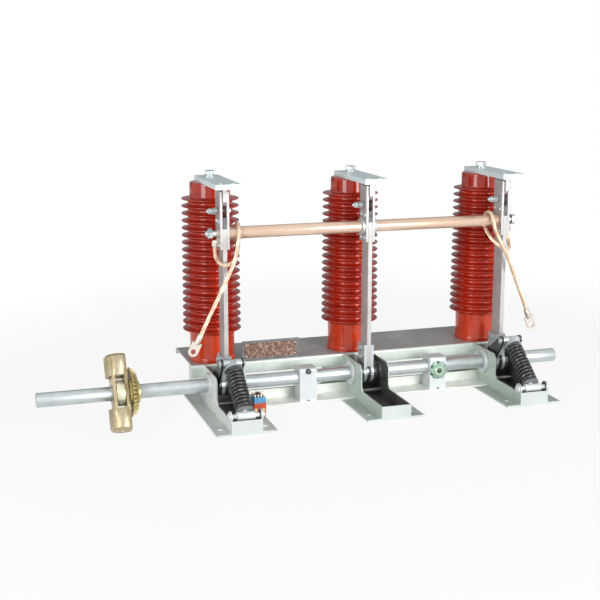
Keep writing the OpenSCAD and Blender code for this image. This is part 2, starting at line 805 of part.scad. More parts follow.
module spring_left() { spring(pole_left); }
module spring_right() { spring(pole_right); }

// Sliding upper seat: plate on the coil and a cross block between the cranks
module spring_seat(pole) {
    seat_start = spring_l - coil_end;
    color("silver") at_spring(pole) difference() {
        union() {
            translate([spring_l, 0, 0]) rotate([90, 0, 0])
                cylinder(r = pivot_block_r, h = 2 * (crank_inner - seat_gap), center = true);
            spring_bar(seat_start, seat_start + seat_t, coil_r);
            spring_bar(seat_start, spring_l, seat_neck_r);
        }
        spring_bar(seat_start - cut, spring_l + coil_end, guide_r + guide_gap);
    }
}

module spring_seat_left() { spring_seat(pole_left); }
module spring_seat_right() { spring_seat(pole_right); }

// Bevel drive

// Cast frame round the shaft with a boss above and below for the drive rod, leaning to the back;
// the bosses are faced flush with the frame beside the wheel
module gear_yoke() {
    window_half = yoke_half_h - yoke_wall;
    color("goldenrod") translate([yoke_x, shaft_y, shaft_z]) rotate([-yoke_lean, 0, 0]) difference() {
        union() {
            translate([-yoke_w / 2, -yoke_d / 2, -yoke_half_h]) cube([yoke_w, yoke_d, 2 * yoke_half_h]);
            for (flip = [0, 1])
                mirror([0, 0, flip]) rotate_extrude()
                    polygon([[0, window_half], [boss_r, window_half], [boss_r, boss_reach - boss_edge],
                             [boss_r - boss_edge, boss_reach], [0, boss_reach]]);
        }
        translate([yoke_w / 2, -boss_r - cut, -boss_reach - cut])
            cube([boss_r, 2 * (boss_r + cut), 2 * (boss_reach + cut)]);
        translate([-yoke_w / 2 + yoke_wall, -boss_r - cut, -window_half])
            cube([yoke_w - 2 * yoke_wall, 2 * (boss_r + cut), 2 * window_half]);
        bar_x(-yoke_w / 2 - cut, yoke_w / 2 + cut, shaft_r + running_gap);
        for (flip = [0, 1])
            mirror([0, 0, flip]) translate([0, 0, window_half])
                cylinder(r = boss_bore_r, h = boss_reach - window_half + cut);
    }
}

// Collar pinned to the shaft inside the yoke's window
module yoke_collar() {
    half = yoke_w / 2 - yoke_wall - collar_gap;
    color("khaki") translate([yoke_x, shaft_y, shaft_z]) difference() {
        bar_x(-half, half, collar_r);
        bar_x(-half - cut, half + cut, shaft_r + running_gap);
    }
}

// Straight bevel wheel beside the yoke: a cone with V gaps along its slope
module bevel_wheel() {
    wheel_end = wheel_step_w + wheel_w;
    lean = atan2(wheel_slope, wheel_w);
    color("gold") translate([yoke_x + yoke_w / 2 + wheel_gap, shaft_y, shaft_z]) difference() {
        union() {
            bar_x(0, wheel_step_w, wheel_step_r);
            translate([wheel_step_w, 0, 0]) rotate([0, 90, 0])
                cylinder(r1 = wheel_r, r2 = wheel_r - wheel_slope, h = wheel_w);
            bar_x(wheel_end, wheel_end + washer_w, washer_r);
        }
        bar_x(-cut, wheel_end + washer_w + cut, shaft_r + running_gap);
        for (i = [0 : wheel_teeth - 1])
            rotate([360 * i / wheel_teeth, 0, 0])
                translate([wheel_step_w, 0, wheel_r]) rotate([0, lean, 0])
                    plate_x(-wheel_w, 2 * wheel_w)
                        polygon([[0, -tooth_h], [tooth_gap_half, cut], [-tooth_gap_half, cut]]);
    }
}

// Rating plate and small parts

// Place children at the left end of the plate bracket, on the deck's front edge
module at_plate() {
    translate([pole_left + plate_offset - plate_w / 2, -deck_front + fold_r, deck_top]) children();
}

// Bent sheet on the deck's front edge that holds the rating plate
module plate_bracket() {
    color("darkgray") at_plate() {
        cube([plate_w, plate_t, plate_h]);
        cube([plate_w, plate_leg, plate_t]);
    }
}

// Bare plate on the bracket
module rating_plate() {
    color("sienna") at_plate() translate([plate_border, -plate_face_t, plate_border])
        cube([plate_w - 2 * plate_border, plate_face_t, plate_h - 2 * plate_border]);
}

// Place children on the left foot's flange, beside the spring
module at_aux() {
    translate([pole_left + wall_outer + aux_gap, -aux_front, foot_plate_t]) children();
}

// Auxiliary switch housing with a recess in its upper side edge, above its terminal strip
module aux_switch() {
    color("steelblue") at_aux() translate([0, 0, aux_strip_h]) difference() {
        cube([aux_w, aux_d, aux_h]);
        translate([aux_w - aux_lip, aux_lip, aux_h - 2 * aux_lip])
            cube([aux_lip + cut, aux_d - 2 * aux_lip, 2 * aux_lip + cut]);
    }
}

module aux_terminal_strip() {
    color("orangered") at_aux() cube([aux_w, aux_d, aux_strip_h]);
}

// Earth leads

module lead_left() { color("chocolate") swept_tube(lead_route_left, lead_r, 10); }
module lead_right() { color("chocolate") swept_tube(lead_route_right, lead_r, 10); }

// Eye lug on an end stud, with the barrel down to the lead; drawn on the right side
module lead_eye(start) {
    eye_x = pole_pitch + fork_outer;
    difference() {
        union() {
            translate([0, shaft_y, tube_z]) bar_x(eye_x, eye_x + lug_palm_t, lug_palm_r);
            translate([eye_x, shaft_y - lug_barrel_r, start[2]])
                cube([lug_palm_t, 2 * lug_barrel_r, tube_z - start[2]]);
            translate([abs(start[0]), shaft_y, start[2]]) cylinder(r = lug_barrel_r, h = eye_barrel_l);
        }
        translate([0, shaft_y, tube_z])
            bar_x(eye_x - cut, eye_x + lug_palm_t + cut, stud_r + running_gap);
    }
}

module lead_eyes() {
    color("peru") {
        lead_eye(lead_route_right[0]);
        mirror([1, 0, 0]) lead_eye(lead_route_left[0]);
    }
}

// Lug on the free end of a lead: barrel and flat palm with a hole, along the lead's last stretch
module lead_lug(route) {
    last = route[len(route) - 1];
    way = heading(route, len(route) - 1);
    hole_z = lug_barrel_l + lug_palm_l;
    color("silver") translate(last) rotate([0, 180 + atan2(way[0], way[2]), 0]) rotate([180, 0, 0])
        difference() {
            union() {
                cylinder(r = lug_barrel_r, h = lug_barrel_l);
                translate([-lug_palm_r, -lug_palm_t / 2, lug_barrel_l - lug_palm_t])
                    cube([2 * lug_palm_r, lug_palm_t, lug_palm_l + lug_palm_t]);
                translate([0, lug_palm_t / 2, hole_z]) rotate([90, 0, 0])
                    cylinder(r = lug_palm_r, h = lug_palm_t);
            }
            translate([0, lug_palm_t, hole_z]) rotate([90, 0, 0])
                cylinder(r = lug_hole_r, h = 2 * lug_palm_t);
        }
}

module lead_lug_left() { lead_lug(lead_route_left); }
module lead_lug_right() { lead_lug(lead_route_right); }

deck();
foot_left();
foot_middle();
foot_right();
tie_rails();
shaft_bushes();
mid_bearings();
insulator_left();
insulator_middle();
insulator_right();
terminal_bar_left();
terminal_bar_middle();
terminal_bar_right();
terminal_bolts();
fixed_contacts();
spring_pivot_pins();
gear_yoke();
plate_bracket();
rating_plate();
aux_switch();
aux_terminal_strip();
main_shaft();
bevel_wheel();
yoke_collar();
hub_left();
hub_middle();
hub_right();
blade_left();
blade_middle();
blade_right();
fork_left();
fork_middle();
fork_right();
cross_tube();
tube_clamp_rings();
tube_studs();
lead_left();
lead_right();
lead_eyes();
lead_lug_left();
lead_lug_right();
guide_left();
guide_right();
spring_left();
spring_right();
spring_seat_left();
spring_seat_right();
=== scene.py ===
"""Looks of a three-pole earthing switch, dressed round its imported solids."""

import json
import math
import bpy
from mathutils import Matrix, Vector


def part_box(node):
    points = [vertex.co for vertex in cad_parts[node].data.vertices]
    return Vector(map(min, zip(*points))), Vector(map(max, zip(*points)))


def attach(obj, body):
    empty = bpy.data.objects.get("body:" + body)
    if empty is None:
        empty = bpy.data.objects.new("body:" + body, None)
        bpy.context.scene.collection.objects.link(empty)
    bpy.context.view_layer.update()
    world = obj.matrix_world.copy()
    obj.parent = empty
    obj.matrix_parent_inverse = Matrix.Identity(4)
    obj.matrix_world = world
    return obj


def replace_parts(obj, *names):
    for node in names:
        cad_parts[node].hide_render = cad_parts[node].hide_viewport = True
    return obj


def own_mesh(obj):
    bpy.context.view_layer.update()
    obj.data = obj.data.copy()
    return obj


bl_info = {
    "name": "Earthing Switch Dressing",
    "version": (1, 0, 0),
    "blender": (4, 5, 0),
    "location": "View3D > Sidebar > Earthing Switch",
    "description": "Dresses a three-pole earthing switch with finishes, fasteners, springs and leads",
    "category": "Object",
}

import bmesh
import bpy
from bpy.props import FloatProperty, FloatVectorProperty, IntProperty, PointerProperty
from bpy.types import Operator, Panel, PropertyGroup
from mathutils import Matrix, Vector

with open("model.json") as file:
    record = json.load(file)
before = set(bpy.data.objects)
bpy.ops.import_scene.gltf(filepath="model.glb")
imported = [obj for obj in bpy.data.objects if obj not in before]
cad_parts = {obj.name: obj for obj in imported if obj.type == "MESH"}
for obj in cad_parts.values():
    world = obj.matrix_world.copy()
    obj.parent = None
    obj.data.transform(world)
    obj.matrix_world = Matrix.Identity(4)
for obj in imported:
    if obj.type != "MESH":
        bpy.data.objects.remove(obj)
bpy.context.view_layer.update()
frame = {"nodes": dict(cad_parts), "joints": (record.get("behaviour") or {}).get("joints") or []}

SIDES = ("left", "middle", "right")
OUTER_SIDES = ("left", "right")
AXIS_X = Vector((1, 0, 0))
AXIS_Y = Vector((0, 1, 0))
AXIS_Z = Vector((0, 0, 1))
JOINTS = {joint["name"]: joint for joint in frame["joints"]}
SHAFT_AXIS = Vector(JOINTS["blades_open"]["pos_m"])

# Measures of the solids that their boxes don't give, in metres, some just inside the face
FOOT_WALL_INSIDE = 0.0279  # from the pole's middle to a wall's inner face
FOOT_WALL_OUTSIDE = 0.0308  # from the pole's middle to a wall's outer face
FOOT_PLATE_TOP = 0.0042  # top of a foot's base plate
FOOT_FRONT_PLATE = 0.0028  # thickness of a foot's front plate
BUSH_FACE = 0.0366  # from the pole's middle to the face of a bush's flange
BUSH_SCREW_RADIUS = 0.0197  # circle of the flange's screws
LUG_FACES = (0.0043, 0.0104)  # from the pole's middle to both faces of a hub's lug
LUG_SEAT = 0.0103  # from the pole's middle to the heads of the blade's bolts
ROOT_BOLT_HEIGHTS = (0.031, 0.050)  # blade's bolts above the shaft's axis
ROOT_BOLT_BACK = 0.004  # blade's bolts behind the shaft's axis
GUIDE_BARREL = 0.0086  # bright end of a spring guide, from its pivot
PIVOT_BLOCK_RADIUS = 0.008  # round block of an upper spring seat
RAIL_TOP_EDGE = 0.0012  # painted shadow as a dark edge along the top of the tie rails
BLADE_SHADE_START = 0.010  # painted shade on a blade's end in the fork, from this height above the tube's axis
CLAMP_RING_HALF = 0.003  # half the width of a clamp ring
INSULATOR_BOLT = 0.016  # thread diameter of the bolts under the insulators
DECK_THICKNESS = 0.003  # sheet of the deck
RING_GROOVES = (-0.5276, 0.3397)  # places of the retaining rings along the shaft
PEDESTAL_HALF = 0.018  # half the width of a mid bearing
PEDESTAL_BOLT_SEAT = 0.007  # height of the seats of its holding bolts
LEAD_BARREL = 0.0055  # radius of the barrels at a lead's ends


def middle_of(node):
    """Middle of a solid's box."""
    low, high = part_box(node)
    return (low + high) / 2


POLE_X = {side: middle_of("insulator_" + side).x for side in SIDES}
TUBE_AXIS = middle_of("cross_tube")


# Sizes and colours that a user may change


def length(name, description, default, low=0.0001):
    """A length in metres, shown with its unit."""
    return FloatProperty(name=name, description=description, default=default, min=low, unit="LENGTH")


def colour(name, description, default):
    """A colour as it renders in plain light."""
    return FloatVectorProperty(name=name, description=description, default=default, size=3,
                               min=0.0, max=1.0, subtype="COLOR")


class SwitchColours(PropertyGroup):
    """Base colours of the finishes."""

    zinc: colour("Zinc sheet", "Plated sheet of the deck", (0.84, 0.91, 0.85))
    zinc_shade: colour("Zinc shade", "Darker cells of the plated sheet", (0.64, 0.72, 0.66))
    foot: colour("Foot sheet", "Plated sheet of the middle and right feet", (0.58, 0.69, 0.62))
    foot_shade: colour("Foot shade", "Darker cells of these feet", (0.45, 0.55, 0.48))
    # Painted shade: the feet's front plates take a zinc darker than the deck's, where more light falls on
    # them
    front: colour("Front plate", "Plated front plates of the feet", (0.64, 0.69, 0.68))
    front_shade: colour("Front plate shade", "Darker cells of the front plates", (0.53, 0.58, 0.57))
    # Painted light: the left foot takes a lighter copy of the feet's zinc, as it is lit from the left
    painted_lit_foot: colour("Painted lit foot sheet", "Plated sheet of the left foot", (0.90, 0.94, 0.91))
    painted_lit_foot_shade: colour("Painted lit foot shade", "Darker cells of the left foot", (0.76, 0.81, 0.78))
    # Dust and painted shade: a darker film on the faces that look up
    dust_and_top_shade: colour("Dust", "Film on the faces that look up", (0.43, 0.44, 0.435))
    bright: colour("Bright zinc", "Turned and plated small parts", (0.62, 0.67, 0.68))
    bright_shade: colour("Bright zinc shade", "Dull patches of the turned parts", (0.47, 0.52, 0.54))
    pale: colour("Pale zinc", "Bearing pedestals and pivot barrels", (0.77, 0.81, 0.82))
    pale_shade: colour("Pale zinc shade", "Dull patches of the pale pieces", (0.63, 0.67, 0.68))
    # Dark colour: painted shade on the hubs' cranks, on the guides inside the springs and on the blades'
    # ends in the forks; real blackening on small bolts and the auxiliary lever
    blackened_and_shade: colour("Blackened steel", "Hubs, cranks and spring guides", (0.030, 0.033, 0.038))
    blackened_worn: colour("Worn blackening", "Rubbed places on the blackened steel", (0.17, 0.18, 0.19))
    # Painted shade: dark colours on the floor between a foot's walls and along the top edge of the tie rails
    painted_shade: colour("Painted shade", "Painted shade between a foot's walls and on the rails' top edge", (0.15, 0.155, 0.145))
    painted_shade_deep: colour("Deep painted shade", "Darkest painted shade in a foot", (0.07, 0.072, 0.066))
    dull: colour("Dull steel", "Frame of the bare plate and other grey steel", (0.24, 0.24, 0.25))
    dull_shade: colour("Dull steel shade", "Darker patches of the grey steel", (0.13, 0.13, 0.14))
    rail: colour("Rail", "Pale front of the tie rails", (0.93, 0.95, 0.90))
    rail_shade: colour("Rail shade", "Darker patches of the tie rails", (0.77, 0.80, 0.74))
    resin: colour("Resin", "Cast red insulators", (0.50, 0.029, 0.008))
    resin_deep: colour("Deep resin", "Darker flow marks in the casting", (0.34, 0.014, 0.005))
    # Painted light: the plain base is lighter than the sheds, which shade each other
    lit_resin_base: colour("Lit resin base", "Lighter plain base of the insulators", (0.66, 0.058, 0.014))
    lit_resin_base_deep: colour("Deep lit resin base", "Flow marks in the plain base", (0.53, 0.040, 0.011))
    silvered: colour("Silvered copper", "Blades and contacts", (0.54, 0.53, 0.515))
    silvered_shade: colour("Silvered shade", "Tarnish on the blades", (0.43, 0.41, 0.405))
    bar: colour("Terminal bar", "Tinned bars on the insulators", (0.87, 0.98, 1.0))
    bar_shade: colour("Terminal bar shade", "Dull patches of the bars", (0.73, 0.86, 0.89))
    copper: colour("Copper", "Cross tube", (0.78, 0.58, 0.45))
    copper_shade: colour("Copper shade", "Tarnish on the tube", (0.66, 0.44, 0.31))
    braid: colour("Braid", "Stranded earth leads", (0.95, 0.79, 0.62))
    braid_shade: colour("Braid shade", "Oxide between the strands", (0.68, 0.44, 0.28))
    tinned: colour("Tinned copper", "Lugs of the leads", (0.80, 0.75, 0.68))
    tinned_shade: colour("Tinned shade", "Dull patches of the lugs", (0.62, 0.54, 0.46))
    casting: colour("Drive casting", "Yellow passivated yoke", (0.52, 0.43, 0.26))
    casting_shade: colour("Drive casting shade", "Iridescent patches of the yoke", (0.31, 0.23, 0.11))
    wheel: colour("Bevel wheel", "Yellow passivated wheel", (0.66, 0.57, 0.25))
    wheel_shade: colour("Bevel wheel shade", "Darker patches of the wheel", (0.36, 0.28, 0.10))
    collar: colour("Collar", "Pale collar in the yoke", (0.84, 0.83, 0.62))
    collar_shade: colour("Collar shade", "Dull patches of the collar", (0.64, 0.62, 0.42))
    spring: colour("Spring steel", "Blackened closing springs", (0.020, 0.021, 0.024))
    # Lighter patches on the coils, part wear and part painted highlight, spread by noise
    spring_wear_and_highlight: colour("Spring wear and highlight", "Rubbed crowns and painted highlights on the coils", (0.30, 0.31, 0.32))
    plate: colour("Plate field", "Aged field of the bare plate", (0.15, 0.058, 0.034))
    plate_stain: colour("Plate stain", "Light stains on the bare plate", (0.46, 0.27, 0.175))
    cover: colour("Bearing cover", "Green passivated cover of the right bearing", (0.40, 0.56, 0.46))
    cover_ring: colour("Cover ring", "Pale ring in the middle of the cover", (0.60, 0.80, 0.50))
    cover_shade: colour("Bearing cover shade", "Darker patches of the cover", (0.20, 0.33, 0.25))
    blue: colour("Blue plastic", "Auxiliary switch housing", (0.15, 0.49, 0.85))
    orange: colour("Orange plastic", "Terminal strip", (0.70, 0.10, 0.03))


class SwitchSizes(PropertyGroup):
    """Sizes of what is added to the solids."""

    sheds: IntProperty(name="Sheds", description="Sheds on an insulator", default=19, min=4, max=30)
    shed_depth: length("Shed depth", "Depth of the grooves between the sheds", 0.0125)
    shed_root: length("Shed root", "Thickness of a shed at the core", 0.0074)
    shed_rim: length("Shed rim", "Thickness of a shed where its rim starts to round", 0.0036)
    shed_tip: length("Shed tip", "Thickness of a shed at its tip", 0.0016)
    shed_rim_depth: length("Rim depth", "Depth of the rounded rim", 0.002)
    shed_taper: length("Taper", "Radius lost from the foot of an insulator to its top", 0.0025)
    plain_base: length("Plain base", "Height of the plain part at the foot of an insulator", 0.058)
    plain_cap: length("Plain cap", "Height of the plain cap of an insulator", 0.026)
    foot_ring: length("Foot ring", "Height of the ring at the foot of an insulator", 0.008)
    base_radius: length("Base radius", "Radius of the ring at the foot of an insulator", 0.0475)
    cap_radius: length("Cap radius", "Radius of an insulator's cap", 0.041)
    casting_edge: length("Casting edge", "Chamfer on the ring and the cap", 0.002)
    edge_round: length("Edge round", "Rounding of sheet and bar edges", 0.0005)
    cast_round: length("Cast round", "Rounding of the cast drive pieces", 0.0012)
    terminal_bolt: length("Terminal bolt", "Thread diameter of the terminal bolts", 0.012)
    fork_bolt: length("Fork bolt", "Thread diameter of the bolts across the forks", 0.006)
    blade_bolt: length("Blade bolt", "Thread diameter of the bolts at the blades' roots", 0.008)
    stud_thread: length("Stud thread", "Thread diameter of the tube's end studs", 0.012)
    thread_pitch: length("Thread pitch", "Distance between two threads", 0.00175)
    coil_turns: FloatProperty(name="Coil turns", description="Turns of a closing spring",
                              default=11.0, min=3.0)
    coil_radius: length("Coil radius", "Outer radius of a closing spring", 0.0175)
    coil_wire: length("Coil wire", "Wire radius of a closing spring", 0.0031)
    lead_diameter: length("Lead diameter", "Diameter of an earth lead", 0.0075)
    lead_strands: IntProperty(name="Strands", description="Outer strands of an earth lead", default=9, min=5)
    weld_bead: length("Weld bead", "Radius of the weld beads on the feet", 0.0022)


class SwitchStage(PropertyGroup):
    """Camera and light."""

    camera_place: FloatVectorProperty(name="Camera place", description="Where the camera stands",
                                      default=(-0.8389, -2.2563, 0.7021), size=3, subtype="XYZ",
                                      unit="LENGTH")
    camera_down: FloatProperty(name="Camera pitch", description="How far the camera looks down",
                               default=math.radians(12.20), subtype="ANGLE")
    camera_turn: FloatProperty(name="Camera turn", description="How far the camera looks to the right",
                               default=math.radians(17.90), subtype="ANGLE")
    lens: FloatProperty(name="Lens", description="Focal length on a 36 mm sensor, in millimetres",
                        default=69.4, min=10.0)
    sky: FloatProperty(name="Sky", description="Strength of the even light from all round",
                       default=0.25, min=0.0)
    left_light: FloatProperty(name="Left light", default=26.0, min=0.0, subtype="POWER",
                              description="Power of the tall soft light at the front left")
    right_light: FloatProperty(name="Right light", default=49.0, min=0.0, subtype="POWER",
                               description="Power of the tall soft light at the front right")
    screen: FloatProperty(name="Screen", default=0.65, min=0.0, max=1.0,
                          description="Darkness of the screen behind, as it shows in glossy edges")
    ledge_drop: length("Ledge drop", "How far the floor dips below the drive", 0.034)


# Shared helpers for meshes


TINY = 1e-7


def facing(origin, direction, spin=0.0):
    """Frame at origin whose Z axis points along direction."""
    turn = Vector(direction).normalized().to_track_quat("Z", "Y").to_matrix().to_4x4()
    return Matrix.Translation(origin) @ turn @ Matrix.Rotation(spin, 4, "Z")


def raised(place, height):
    """The same frame, moved along its Z axis."""
    return place @ Matrix.Translation((0, 0, height))


def polar(place, radius, angle, height):
    """Point at a radius and an angle round the Z axis of a frame."""
    return place @ Vector((radius * math.cos(angle), radius * math.sin(angle), height))


def round_angles(count):
    """Even angles all the way round."""
    return [2 * math.pi * k / count for k in range(count)]


def spread(low, high, count):
    """Even places between two ends, half a step in from each."""
    return [low + (high - low) * (k + 0.5) / count for k in range(count)]


def span_along(node, start, axis):
    """Least and greatest distance of a solid's points from a start, along an axis."""
    along = [(Vector(v.co) - start).dot(axis) for v in frame["nodes"][node].data.vertices]
    return min(along), max(along)


def smooth_route(points, spacing):
    """Points about one spacing apart on a smooth curve through the given points."""
    ends = [points[0] * 2 - points[1]] + list(points) + [points[-1] * 2 - points[-2]]
    route = []
    for before, start, stop, after in zip(ends, ends[1:], ends[2:], ends[3:]):
        steps = max(2, round((stop - start).length / spacing))
        for step in range(steps):
            t = step / steps
            bend = start * 2 + (stop - before) * t
            bend += (before * 2 - start * 5 + stop * 4 - after) * t ** 2
            bend += (start * 3 - before - stop * 3 + after) * t ** 3
            route.append(bend / 2)
    route.append(points[-1].copy())
    return route


def carried_frames(route):
    """Heading and two side vectors at each point of a route, carried along without twist."""
    last = len(route) - 1
    headings = [(route[min(i + 1, last)] - route[max(i - 1, 0)]).normalized() for i in range(last + 1)]
    side = headings[0].orthogonal().normalized()
    frames = []
    for heading in headings:
        side = (side - heading * side.dot(heading)).normalized()
        frames.append((heading, side, heading.cross(side)))
    return frames


def rounded(points, passes):
    """Cuts the corners of an open outline, a quarter of each edge at a time."""
    for _ in range(passes):
        cut = [points[0]]
        for start, stop in zip(points, points[1:]):
            cut.append(start.lerp(stop, 0.25))
            cut.append(start.lerp(stop, 0.75))
        cut.append(points[-1])
        points = cut
    return points


class Shape:
    """Faces of one piece, gathered in the part's own frame."""

    def __init__(self):
        self.mesh = bmesh.new()

    def ring(self, points):
        """New vertices at the given points."""
        return [self.mesh.verts.new(point) for point in points]

    def skirt(self, lower, upper):
        """Faces between two rings, either of which may be a single point."""
        count = max(len(lower), len(upper))
        for k in range(count):
            following = (k + 1) % count
            if len(lower) == 1:
                corners = (lower[0], upper[following], upper[k])
            elif len(upper) == 1:
                corners = (lower[k], lower[following], upper[0])
            else:
                corners = (lower[k], lower[following], upper[following], upper[k])
            self.mesh.faces.new(corners)

    def rings(self, rings, closed):
        """Faces along a row of rings, back to the first where the row is closed, or else capped."""
        for lower, upper in zip(rings, rings[1:]):
            self.skirt(lower, upper)
        if closed:
            self.skirt(rings[-1], rings[0])
            return
        for end in (rings[0], rings[-1]):
            if len(end) > 2:
                self.mesh.faces.new(end)

    def lathe(self, place, profile, segments=40, closed=False):
        """Turns (radius, height) points round the Z axis of a place."""
        rings = []
        for radius, height in profile:
            angles = [0.0] if radius < TINY else round_angles(segments)
            rings.append(self.ring([polar(place, radius, a, height) for a in angles]))
        self.rings(rings, closed)

    def tube(self, route, radius, sides=12):
        """Round tube along a route; radius is one number or one for each point."""
        radii = radius if isinstance(radius, list) else [radius] * len(route)
        rings = []
        for point, size, (_, side, other) in zip(route, radii, carried_frames(route)):
            rings.append(self.ring([
                point + (side * math.cos(a) + other * math.sin(a)) * size for a in round_angles(sides)]))
        self.rings(rings, False)

    def hexagon(self, place, flats, height, bore=0.0):
        """Hexagon head or nut, chamfered on its upper corners."""
        angles = round_angles(24)
        inner = flats / 2 * 0.95
        slope = math.tan(math.radians(30))

        def reach(a):
            return flats / 2 / math.cos((a % math.radians(60)) - math.radians(30))

        def chamfer(a):
            return height - (reach(a) - inner) * slope

        rings = [self.ring([polar(place, reach(a), a, 0) for a in angles]),
                 self.ring([polar(place, reach(a), a, chamfer(a)) for a in angles])]
        for radius, z in ((inner, height), (bore, height), (bore, 0)):
            if radius > TINY:
                rings.append(self.ring([polar(place, radius, a, z) for a in angles]))
        self.rings(rings, bore > TINY)

    def washer(self, place, outer, inner, thick):
        """Flat washer with broken edges."""
        edge = thick * 0.25
        self.lathe(place, [(inner, 0), (outer - edge, 0), (outer, edge), (outer, thick - edge),
                           (outer - edge, thick), (inner, thick)], 36, True)

    def spring_washer(self, place, outer, inner, thick):
        """Split ring with a small step at its gap."""
        steps = 40
        rings = []
        for step in range(steps + 1):
            a = math.radians(8) + math.radians(344) * step / steps
            lift = thick * 0.35 * step / steps
            corners = ((inner, lift), (outer, lift), (outer, lift + thick), (inner, lift + thick))
            rings.append(self.ring([polar(place, r, a, z) for r, z in corners]))
        self.rings(rings, False)

    def thread(self, place, radius, long, pitch):
        """Threaded end with a chamfered tip, as a row of ridges."""
        depth = pitch * 0.5
        profile = [(0, 0), (radius - depth, 0)]
        for turn in range(int(long / pitch) - 1):
            profile.append((radius, (turn + 0.5) * pitch))
            profile.append((radius - depth, (turn + 1) * pitch))
        profile += [(radius - depth, long), (0, long)]
        self.lathe(place, profile, 28)

    def bolt_head(self, place, size, spring=True):
        """Flat washer, split washer and hexagon head on a seat."""
        flat = size * 0.2
        split = size * 0.2 if spring else 0.0
        self.washer(place, size * 1.05, size * 0.5, flat)
        if spring:
            self.spring_washer(raised(place, flat), size * 0.82, size * 0.5, split * 0.8)
        self.hexagon(raised(place, flat + split), size * 1.6, size * 0.62)

    def pin_head(self, place, radius, height):
        """Flat head of a pin with broken edges."""
        self.lathe(place, [(0, 0), (radius - 0.0002, 0), (radius, 0.0004), (radius, height - 0.0006),
                           (radius - 0.0006, height), (0, height)], 32)

    def nut_and_end(self, place, size, pitch, proud):
        """Flat washer, nut and the threaded end that stands out of it."""
        flat = size * 0.2
        self.washer(place, size * 1.05, size * 0.5, flat)
        self.hexagon(raised(place, flat), size * 1.6, size * 0.8, size * 0.46)
        self.thread(place, size * 0.5, flat + size * 0.8 + proud, pitch)

    def dome(self, place, radius, height):
        """Rivet or button head."""
        steps = 6
        profile = [(radius, 0)]
        for step in range(1, steps):
            a = math.pi / 2 * step / steps
            profile.append((radius * math.cos(a), height * math.sin(a)))
        profile.append((0, height))
        self.lathe(place, profile, 24)

    def lobed(self, place, profile, lobes, depth, segments=96):
        """As lathe, with an outline that swells and shrinks all round, most at the rim."""
        widest = max(radius for radius, _ in profile)
        rings = []
        for radius, height in profile:
            swell = depth * (radius / widest) ** 4
            rings.append(self.ring([polar(place, radius + swell * math.cos(lobes * a), a, height)
                                    for a in round_angles(segments)]))
        self.rings(rings, False)

    def slab(self, low, high, edge):
        """Block between two corners with broken edges."""
        made = bmesh.ops.create_cube(self.mesh, size=1.0)
        size = Vector(high) - Vector(low)
        middle = (Vector(high) + Vector(low)) / 2
        bmesh.ops.scale(self.mesh, vec=size, verts=made["verts"])
        bmesh.ops.translate(self.mesh, vec=middle, verts=made["verts"])
        edges = list(dict.fromkeys(e for vertex in made["verts"] for e in vertex.link_edges))
        bmesh.ops.bevel(self.mesh, geom=edges, offset=edge, segments=2, profile=0.7, affect="EDGES")

    def piece(self, name, finish, body, slot, sharp=35):
        """Turns the faces into an object that rides on a body."""
        bmesh.ops.recalc_face_normals(self.mesh, faces=self.mesh.faces)
        data = bpy.data.meshes.new(name)
        self.mesh.to_mesh(data)
        self.mesh.free()
        data.shade_smooth()
        data.set_sharp_from_angle(angle=math.radians(sharp))
        data.materials.append(finish)
        made = bpy.data.objects.new(name, data)
        bpy.context.scene.collection.objects.link(made)
        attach(made, body)
        return made


# Shared shader groups


ALONG_X = (0.06, 1.0, 1.0)
ALONG_Y = (1.0, 0.06, 1.0)
ALONG_Z = (1.0, 1.0, 0.06)
EVEN = (1.0, 1.0, 1.0)
GREY = (0.5, 0.5, 0.5, 1.0)
SOCKET_KINDS = {1: "NodeSocketFloat", 3: "NodeSocketVector", 4: "NodeSocketColor"}
MIX_COLOURS = (6, 7)
MIX_RESULT = 2


def new_group(name, outputs, **inputs):
    """Empty shader group, with the sockets that its nodes start from and end in."""
    tree = bpy.data.node_groups.new(name, "ShaderNodeTree")
    for socket, default in inputs.items():
        kind = SOCKET_KINDS[len(default) if isinstance(default, tuple) else 1]
        made = tree.interface.new_socket(name=socket, in_out="INPUT", socket_type=kind)
        made.default_value = default
    for socket in outputs:
        kind = "NodeSocketColor" if socket == "Colour" else "NodeSocketFloat"
        tree.interface.new_socket(name=socket, in_out="OUTPUT", socket_type=kind)
    return tree, tree.nodes.new("NodeGroupInput").outputs, tree.nodes.new("NodeGroupOutput").inputs


def give(tree, socket, value):
    """Gives a socket a link or a plain number."""
    if isinstance(value, (int, float)):
        socket.default_value = value
    else:
        tree.links.new(value, socket)


def add_math(tree, operation, first, second):
    """Math node on two links or numbers."""
    made = tree.nodes.new("ShaderNodeMath")
    made.operation = operation
    give(tree, made.inputs[0], first)
    give(tree, made.inputs[1], second)
    return made.outputs[0]


def add_vector_math(tree, operation, first, second):
    """Vector math node on two links."""
    made = tree.nodes.new("ShaderNodeVectorMath")
    made.operation = operation
    tree.links.new(first, made.inputs[0])
    tree.links.new(second, made.inputs["Scale" if operation == "SCALE" else 1])
    return made.outputs["Value" if operation == "DOT_PRODUCT" else 0]


def add_mix(tree, factor, first, second):
    """Colour mix of two links by a link."""
    made = tree.nodes.new("ShaderNodeMix")
    made.data_type = "RGBA"
    tree.links.new(factor, made.inputs["Factor"])
    for index, colour_link in zip(MIX_COLOURS, (first, second)):
        tree.links.new(colour_link, made.inputs[index])
    return made.outputs[MIX_RESULT]


def add_place(tree, ins):
    """Place on the object, stretched and scaled by the group's inputs."""
    place = tree.nodes.new("ShaderNodeTexCoord").outputs["Object"]
    stretched = add_vector_math(tree, "MULTIPLY", place, ins["Stretch"])
    return add_vector_math(tree, "SCALE", stretched, ins["Scale"])


